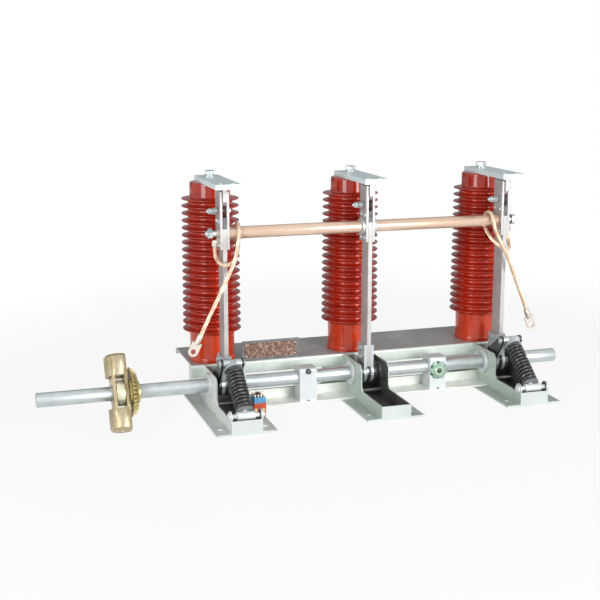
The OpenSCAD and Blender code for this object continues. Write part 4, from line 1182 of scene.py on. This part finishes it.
class SWITCH_OT_insulators(Operator):
    """Cast insulators with soft sheds"""

    bl_idname = "switch.insulators"
    bl_label = "Insulators"

    def execute(self, context):
        sizes = context.scene.switch_sizes
        for side in SIDES:
            low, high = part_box("insulator_" + side)
            outline = self.outline(sizes, high.z - low.z, (high.x - low.x) / 2)
            shape = Shape()
            foot = Matrix.Translation((POLE_X[side], middle_of("insulator_" + side).y, low.z))
            shape.lathe(foot, outline, 80)
            casting = finish_shape(shape, "casting_" + side, "resin", "base")
            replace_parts(casting, "insulator_" + side)
        return {"FINISHED"}

    def outline(self, sizes, tall, reach):
        """Half section from the middle of the foot to the middle of the cap."""
        edge = sizes.casting_edge
        base = sizes.base_radius - edge
        pitch = (tall - sizes.plain_base - sizes.plain_cap) / sizes.sheds
        lip = 0.0005
        base_step = 0.004
        foot = [(sizes.base_radius, lip), (sizes.base_radius, sizes.foot_ring),
                (base, sizes.foot_ring + edge), (base, sizes.plain_base - base_step)]
        sheds = []
        first = sizes.plain_base + pitch / 2
        for i in range(sizes.sheds):
            z = first + i * pitch
            tip = reach - sizes.shed_taper * (z - first) / tall
            core = tip - sizes.shed_depth
            rim = tip - sizes.shed_rim_depth
            sheds += [(core, z - sizes.shed_root / 2), (rim, z - sizes.shed_rim / 2),
                      (tip, z - sizes.shed_tip / 2), (tip, z + sizes.shed_tip / 2),
                      (rim, z + sizes.shed_rim / 2), (core, z + sizes.shed_root / 2)]
        sheds[-1] = (sizes.cap_radius + edge, sheds[-1][1] - edge / 2)
        cap = [(sizes.cap_radius, sheds[-1][1] + edge), (sizes.cap_radius, tall - edge),
               (sizes.cap_radius - edge, tall)]
        corners = [Vector(point) for point in foot + sheds + cap]
        side = [tuple(point) for point in rounded(corners, 2)]
        return [(0.0, 0.0), (sizes.base_radius - lip, 0.0), *side, (0.0, tall)]


class SWITCH_OT_terminals(Operator):
    """Bolts that hold the terminal bars and the insulators"""

    bl_idname = "switch.terminals"
    bl_label = "Terminal bolts"

    def execute(self, context):
        sizes = context.scene.switch_sizes
        top = Shape()
        under = Shape()
        for side in SIDES:
            axis_y = middle_of("insulator_" + side).y
            bar_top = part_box("terminal_bar_" + side)[1].z
            top.bolt_head(facing((POLE_X[side], axis_y, bar_top), AXIS_Z, 0.3), sizes.terminal_bolt)
            deck_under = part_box("insulator_" + side)[0].z - DECK_THICKNESS
            under.bolt_head(facing((POLE_X[side], axis_y, deck_under), -AXIS_Z, 0.2), INSULATOR_BOLT)
        heads = finish_shape(top, "terminal_bolt_heads", "bright", "base")
        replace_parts(heads, "terminal_bolts")
        finish_shape(under, "insulator_bolt_heads", "bright", "base")
        return {"FINISHED"}


class SWITCH_OT_contacts(Operator):
    """Sprung bolts across the forks and bolts at the blades' roots"""

    bl_idname = "switch.contacts"
    bl_label = "Blade fasteners"

    def execute(self, context):
        sizes = context.scene.switch_sizes
        for side in SIDES:
            shape = Shape()
            fork_low, fork_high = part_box("fork_" + side)
            blade_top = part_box("blade_" + side)[1].z
            contact_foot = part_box("fixed_contacts")[0].z
            y = SHAFT_AXIS.y
            self.sprung_bolt(shape, fork_low.x, fork_high.x, y, (blade_top + contact_foot) / 2, sizes)
            self.fork_rivets(shape, fork_low, fork_high, y, blade_top)
            self.root_bolts(shape, side, sizes)
            finish_shape(shape, "blade_fasteners_" + side, "bright", "rotor")
        return {"FINISHED"}

    def sprung_bolt(self, shape, left, right, y, z, sizes):
        """Bolt that presses the fork plates together, with a spring under the washer on the left."""
        size = sizes.fork_bolt
        stretch = right - left
        tail = 0.020
        nut_seat = 0.0135
        coil_start = 0.0015
        coil_long = 0.0105
        coil_radius = 0.0055
        coil_wire = 0.0011
        steps = 20
        turns = 4
        bolt = facing((left, y, z), AXIS_X)
        shape.lathe(bolt, [(0, -tail), (size / 2, -tail), (size / 2, stretch), (0, stretch)], 24)
        coil = []
        for step in range(turns * steps + 1):
            a = 2 * math.pi * step / steps
            along = coil_start + coil_long * step / (turns * steps)
            coil.append(Vector((left - along, y + coil_radius * math.cos(a), z + coil_radius * math.sin(a))))
        shape.tube(coil, coil_wire, 8)
        shape.nut_and_end(facing((left - nut_seat, y, z), -AXIS_X), size, pitch=0.001, proud=0.003)
        shape.bolt_head(facing((right, y, z), AXIS_X, 0.4), size)

    def fork_rivets(self, shape, low, high, y, blade_top):
        """Rivets that hold each fork plate to its blade, above and below the tube."""
        radius = 0.0045
        height = 0.0026
        for z in (low.z + 0.008, blade_top - 0.009):
            for reach in (-0.010, 0.010):
                shape.dome(facing((low.x, y + reach, z), -AXIS_X), radius, height)
                shape.dome(facing((high.x, y + reach, z), AXIS_X), radius, height)

    def root_bolts(self, shape, side, sizes):
        """Two bolts through the hub's lugs and the blade."""
        size = sizes.blade_bolt * 0.75
        for height in ROOT_BOLT_HEIGHTS:
            at = Vector((POLE_X[side], SHAFT_AXIS.y + ROOT_BOLT_BACK, SHAFT_AXIS.z + height))
            shape.bolt_head(facing(at - AXIS_X * LUG_SEAT, -AXIS_X, 0.2), size, spring=False)
            shape.bolt_head(facing(at + AXIS_X * LUG_SEAT, AXIS_X, 0.5), size, spring=False)


class SWITCH_OT_cross_tube(Operator):
    """Threaded end studs with nuts, and screws of the clamp rings"""

    bl_idname = "switch.cross_tube"
    bl_label = "Cross tube fittings"

    def execute(self, context):
        sizes = context.scene.switch_sizes
        studs = Shape()
        low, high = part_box("tube_studs")
        eye_low, eye_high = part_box("lead_eyes")
        radius = sizes.stud_thread / 2
        shank = 0.035
        nut_flats = 0.0187
        nut_height = 0.008
        for sign, end, eye in ((-1, low.x, eye_low.x), (1, high.x, eye_high.x)):
            outward = AXIS_X * sign
            seat = Vector((eye, TUBE_AXIS.y, TUBE_AXIS.z))
            inner = Vector((sign * (abs(eye) - shank), TUBE_AXIS.y, TUBE_AXIS.z))
            studs.lathe(facing(inner, outward), [(0, 0), (radius, 0), (radius, shank), (0, shank)], 32)
            studs.thread(facing(seat, outward), radius, abs(end - eye), sizes.thread_pitch)
            studs.hexagon(facing(seat, outward, 0.35), nut_flats, nut_height, radius * 0.95)
        made = finish_shape(studs, "threaded_studs", "bright", "rotor")
        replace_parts(made, "tube_studs")
        screws = Shape()
        ring_low, ring_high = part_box("tube_clamp_rings")
        for x in (ring_low.x + CLAMP_RING_HALF, ring_high.x - CLAMP_RING_HALF):
            screws.lathe(facing((x, TUBE_AXIS.y, ring_high.z - 0.0015), AXIS_Z),
                         [(0, 0), (0.0022, 0), (0.0022, 0.0022), (0.0012, 0.0024), (0.0012, 0.001),
                          (0, 0.001)], 20)
        finish_shape(screws, "clamp_ring_screws", "bright", "rotor")
        return {"FINISHED"}


class SWITCH_OT_springs(Operator):
    """Closing springs on the spring guides, with their pins"""

    bl_idname = "switch.springs"
    bl_label = "Closing springs"

    def execute(self, context):
        sizes = context.scene.switch_sizes
        pins = Shape()
        crank_pins = Shape()
        for side in OUTER_SIDES:
            press = JOINTS[side + "_spring_press"]
            axis = -Vector(press["axis"]).normalized()
            pivot = Vector(JOINTS[side + "_guide_tilt"]["pos_m"])
            start, end = span_along("spring_" + side, pivot, axis)
            coil = self.coil(side, facing(pivot, axis), start, end, sizes)
            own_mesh(coil)
            self.pivot_heads(pins, pivot)
            self.crank_heads(crank_pins, side, pivot, axis)
        finish_shape(pins, "pivot_pin_heads", "pale", "base")
        finish_shape(crank_pins, "crank_pin_heads", "bright", "rotor")
        return {"FINISHED"}

    def coil(self, side, place, start, end, sizes):
        """Even wire helix from one seat to the other."""
        steps = 40
        wire = sizes.coil_wire
        turn_radius = sizes.coil_radius - wire
        first = start + wire
        travel = end - start - 2 * wire
        count = int(sizes.coil_turns * steps)
        line = []
        for step in range(count + 1):
            a = 2 * math.pi * step / steps
            along = first + travel * step / count
            line.append(polar(place, turn_radius, a, along))
        shape = Shape()
        shape.tube(line, wire, 12)
        coil = finish_shape(shape, "closing_spring_" + side, "spring", side + "_guide")
        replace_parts(coil, "spring_" + side)
        return coil

    def pivot_heads(self, shape, pivot):
        """Head on one end of a pivot pin, washer and split pin on the other."""
        wall = abs(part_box("spring_pivot_pins")[0].x) - abs(POLE_X["left"])
        shape.pin_head(facing(pivot - AXIS_X * wall, -AXIS_X), radius=0.0080, height=0.0032)
        end = facing(pivot + AXIS_X * wall, AXIS_X)
        shape.washer(end, outer=0.0085, inner=0.0030, thick=0.0015)
        shape.lathe(end, [(0, 0), (0.0049, 0), (0.0049, 0.0055), (0.0041, 0.0063), (0, 0.0063)], 32)
        at = pivot + AXIS_X * (wall + 0.0035)
        split_pin = [at + AXIS_Z * reach for reach in (0.0085, 0.004, -0.004, -0.0085)]
        shape.tube(split_pin, radius=0.0009, sides=8)

    def crank_heads(self, shape, side, pivot, axis):
        """Heads of the pin that joins the cranks to the upper spring seat."""
        low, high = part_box("hub_" + side)
        seat_top = span_along("spring_seat_" + side, pivot, axis)[1]
        at = pivot + axis * (seat_top - PIVOT_BLOCK_RADIUS)
        for sign, face in ((-1, low.x), (1, high.x)):
            shape.pin_head(facing((face, at.y, at.z), AXIS_X * sign), radius=0.0068, height=0.0024)


class SWITCH_OT_bearings(Operator):
    """Screws of the bearings, cover of the right pedestal and retaining rings on the shaft"""

    bl_idname = "switch.bearings"
    bl_label = "Bearing fasteners"

    def execute(self, context):
        screws = Shape()
        for side in SIDES:
            for sign in (-1, 1):
                face = Vector((POLE_X[side] + sign * BUSH_FACE, SHAFT_AXIS.y, SHAFT_AXIS.z))
                for k in range(3):
                    a = math.radians(90 + 120 * k)
                    spot = face + Vector((0, math.cos(a), math.sin(a))) * BUSH_SCREW_RADIUS
                    self.socket_screw(screws, facing(spot, AXIS_X * sign), size=0.0034)
        self.pedestal_bolts(*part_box("mid_bearings"))
        finish_shape(screws, "bearing_screws", "bright", "base")
        rings = Shape()
        for x in RING_GROOVES:
            self.retaining_ring(rings, Vector((x, SHAFT_AXIS.y, SHAFT_AXIS.z)))
        finish_shape(rings, "retaining_rings", "bright", "rotor")
        return {"FINISHED"}

    def socket_screw(self, shape, place, size):
        """Cap screw with a hollow."""
        shape.lathe(place, [(0, 0), (size, 0), (size, size * 0.7), (size * 0.85, size * 0.9),
                            (size * 0.5, size * 0.9), (size * 0.5, size * 0.3), (0, size * 0.3)], 24)

    def pedestal_bolts(self, low, high):
        """Bolt on the front of the left pedestal, and a lobed cover with its bolt on the right one."""
        left_x = low.x + PEDESTAL_HALF
        right_x = high.x - PEDESTAL_HALF
        hole_radius = 0.0168
        dark = Shape()
        dark.bolt_head(facing((left_x, low.y, 0.068), -AXIS_Y, 0.2), size=0.0055)
        cover = facing((right_x, low.y, 0.047), -AXIS_Y)
        plate = Shape()
        plate.lobed(cover, [(0.004, 0), (0.0165, 0), (0.0175, 0.0012), (0.0175, 0.0042), (0.016, 0.0056),
                            (0.0105, 0.0056), (0.004, 0.0056)], lobes=6, depth=0.0022)
        finish_shape(plate, "bearing_cover", "cover", "base")
        ring = Shape()
        ring.lathe(cover, [(0.0050, 0.0050), (0.0098, 0.0050), (0.0098, 0.0072), (0.0090, 0.0080),
                           (0.0058, 0.0080), (0.0050, 0.0072)], 48, True)
        finish_shape(ring, "bearing_cover_ring", "cover_ring", "base")
        dark.hexagon(raised(cover, 0.0054), flats=0.0086, height=0.0042)
        for k in range(6):
            spot = polar(cover, hole_radius, math.radians(60 * k + 30), 0.0)
            dark.dome(facing(spot, -AXIS_Y), radius=0.0026, height=0.0034)
        for x in (left_x, right_x):
            for reach in (-0.0235, 0.0205):
                seat = (x, SHAFT_AXIS.y + reach, PEDESTAL_BOLT_SEAT)
                dark.bolt_head(facing(seat, AXIS_Z, 0.1), size=0.0022, spring=False)
        finish_shape(dark, "pedestal_bolts", "blackened_and_shade", "base")

    def retaining_ring(self, shape, centre):
        """Open snap ring with its gap at the top."""
        inner = 0.0131
        outer = 0.0159
        half = 0.00075
        rings = []
        for step in range(49):
            a = math.radians(110) + math.radians(320) * step / 48
            corners = ((inner, -half), (outer, -half), (outer, half), (inner, half))
            rings.append(shape.ring([
                centre + Vector((x, r * math.cos(a), r * math.sin(a))) for r, x in corners]))
        shape.rings(rings, False)


class SWITCH_OT_feet(Operator):
    """Weld beads along the feet's walls"""

    bl_idname = "switch.feet"
    bl_label = "Foot welds"

    def execute(self, context):
        sizes = context.scene.switch_sizes
        shape = Shape()
        for side in SIDES:
            low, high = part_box("foot_" + side)
            runs = ((low.y + 0.006, low.y + 0.075), (-0.150, -0.130), (-0.045, high.y - 0.010))
            for sign in (-1, 1):
                x = POLE_X[side] + sign * FOOT_WALL_OUTSIDE
                for run in runs:
                    start, stop = [Vector((x, y, FOOT_PLATE_TOP)) for y in run]
                    self.bead(shape, start, stop, sizes.weld_bead)
        finish_shape(shape, "weld_beads", "foot_sheet", "base")
        return {"FINISHED"}

    def bead(self, shape, start, stop, radius):
        """Rippled bead between two places."""
        step = 0.0016
        count = int((stop - start).length / step)
        line = [start.lerp(stop, k / count) for k in range(count + 1)]
        swell = [radius * (0.86 + 0.14 * (k % 3 == 1)) for k in range(count + 1)]
        swell[0] = radius * 0.5
        swell[-1] = radius * 0.5
        shape.tube(line, swell, 10)


class SWITCH_OT_drive(Operator):
    """Set screws of the collar in the yoke"""

    bl_idname = "switch.drive"
    bl_label = "Drive fittings"

    def execute(self, context):
        shape = Shape()
        collar = middle_of("yoke_collar")
        radius = (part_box("yoke_collar")[1].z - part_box("yoke_collar")[0].z) / 2
        for a in (math.radians(200), math.radians(250)):
            way = Vector((0, math.cos(a), math.sin(a)))
            spot = Vector((collar.x, SHAFT_AXIS.y, SHAFT_AXIS.z)) + way * (radius - 0.0004)
            shape.lathe(facing(spot, way), [(0, 0), (0.0036, 0), (0.0036, 0.001), (0.0018, 0.001),
                                            (0.0018, 0.0002), (0, 0.0002)], 24)
        finish_shape(shape, "collar_screws", "bright", "rotor")
        return {"FINISHED"}


class SWITCH_OT_plate(Operator):
    """Rivets of the bare plate"""

    bl_idname = "switch.plate"
    bl_label = "Bare plate"

    def execute(self, context):
        low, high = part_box("rating_plate")
        shape = Shape()
        inset = 0.004
        for x in (low.x + inset, high.x - inset):
            for z in (low.z + inset, high.z - inset):
                shape.dome(facing((x, low.y, z), -AXIS_Y), radius=0.0017, height=0.0009)
        finish_shape(shape, "plate_rivets", "bright", "base")
        return {"FINISHED"}


class SWITCH_OT_auxiliary(Operator):
    """Auxiliary switch on its strip of brass clamps"""

    bl_idname = "switch.auxiliary"
    bl_label = "Auxiliary switch"

    def execute(self, context):
        low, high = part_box("aux_switch")
        strip_low, strip_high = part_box("aux_terminal_strip")
        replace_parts(self.housing(low, high), "aux_switch")
        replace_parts(self.strip(strip_low, strip_high), "aux_terminal_strip")
        self.posts(low, high)
        self.clamps(strip_low, strip_high)
        return {"FINISHED"}

    def housing(self, low, high):
        """Blue housing with a ribbed front, below the posts."""
        shape = Shape()
        top = low.z + 0.011
        shape.slab((low.x, low.y + 0.001, low.z), (high.x, high.y, top), 0.0008)
        for x in spread(low.x, high.x, 5):
            shape.slab((x - 0.0011, low.y, low.z + 0.002), (x + 0.0011, low.y + 0.003, top - 0.002), 0.0004)
        return finish_shape(shape, "aux_housing", "blue", "base")

    def posts(self, low, high):
        """Row of terminal posts and the operating lever on the housing."""
        shape = Shape()
        for x in spread(low.x, high.x, 4):
            for y in (low.y + 0.006, high.y - 0.006):
                post = facing((x, y, low.z + 0.0105), AXIS_Z)
                shape.lathe(post, [(0, 0), (0.0015, 0), (0.0015, 0.0025), (0.0023, 0.0027), (0.0023, 0.0045),
                                   (0.0016, 0.0055), (0, 0.0056)], 20)
        finish_shape(shape, "aux_posts", "braid", "base")
        lever = Shape()
        middle = (low + high) / 2
        lever.slab((middle.x - 0.003, middle.y - 0.006, low.z + 0.010),
                   (middle.x + 0.003, middle.y + 0.006, high.z), 0.001)
        finish_shape(lever, "aux_lever", "blackened_and_shade", "base")

    def strip(self, low, high):
        """Orange strip with dividers, on a grey foot."""
        shape = Shape()
        foot = high.z - 0.010
        shape.slab((low.x, low.y, foot), (high.x, high.y, high.z), 0.0007)
        count = 4
        for k in range(count):
            x = low.x + 0.001 + (high.x - low.x - 0.002) * k / (count - 1)
            shape.slab((x - 0.001, low.y + 0.002, low.z + 0.006),
                       (x + 0.001, high.y - 0.002, foot + 0.001), 0.0004)
        made = finish_shape(shape, "aux_strip", "orange", "base")
        under = Shape()
        under.slab((low.x + 0.001, low.y + 0.010, low.z), (high.x - 0.001, high.y - 0.002, foot), 0.0006)
        finish_shape(under, "aux_foot", "dull", "base")
        return made

    def clamps(self, low, high):
        """Brass clamps with slotted screws between the dividers."""
        shape = Shape()
        for x in spread(low.x, high.x, 3):
            shape.slab((x - 0.0026, low.y + 0.003, low.z + 0.008),
                       (x + 0.0026, low.y + 0.011, high.z - 0.010), 0.0006)
            self.clamp_screw(shape, facing((x, low.y + 0.003, low.z + 0.016), -AXIS_Y))
        finish_shape(shape, "aux_clamps", "wheel", "base")

    def clamp_screw(self, shape, place):
        """Cheese head with a slot cut by its two halves."""
        radius = 0.0023
        height = 0.0014
        half_slot = 0.0003
        for sign in (-1, 1):
            half = place @ Matrix.Translation((0, sign * half_slot, 0))
            angles = [sign * math.pi * k / 12 for k in range(13)]
            lower = shape.ring([polar(half, radius, a, 0.0) for a in angles])
            upper = shape.ring([polar(half, radius, a, height) for a in angles])
            shape.rings([lower, upper], False)


class SWITCH_PT_pieces(Panel):
    """Steps that dress the earthing switch"""

    bl_label = "Earthing Switch"
    bl_idname = "SWITCH_PT_pieces"
    bl_space_type = "VIEW_3D"
    bl_region_type = "UI"
    bl_category = "Earthing Switch"

    def draw(self, context):
        for step in STEPS:
            self.layout.operator(step.bl_idname)
        for group in (context.scene.switch_sizes, context.scene.switch_colours, context.scene.switch_stage):
            box = self.layout.box()
            for name in group.__annotations__:
                box.prop(group, name)


STEPS = (SWITCH_OT_stage, SWITCH_OT_leads, SWITCH_OT_finishes, SWITCH_OT_insulators, SWITCH_OT_terminals,
         SWITCH_OT_contacts, SWITCH_OT_cross_tube, SWITCH_OT_springs, SWITCH_OT_bearings, SWITCH_OT_feet,
         SWITCH_OT_drive, SWITCH_OT_plate, SWITCH_OT_auxiliary)
CLASSES = (SwitchColours, SwitchSizes, SwitchStage) + STEPS + (SWITCH_PT_pieces,)


def register():
    for made in CLASSES:
        bpy.utils.register_class(made)
    bpy.types.Scene.switch_colours = PointerProperty(type=SwitchColours)
    bpy.types.Scene.switch_sizes = PointerProperty(type=SwitchSizes)
    bpy.types.Scene.switch_stage = PointerProperty(type=SwitchStage)


def unregister():
    del bpy.types.Scene.switch_stage
    del bpy.types.Scene.switch_sizes
    del bpy.types.Scene.switch_colours
    for made in reversed(CLASSES):
        bpy.utils.unregister_class(made)


def main():
    """Dresses the frame, step by step."""
    register()
    for step in STEPS:
        area, name = step.bl_idname.split(".")
        getattr(getattr(bpy.ops, area), name)()


if __name__ == "__main__":
    main()
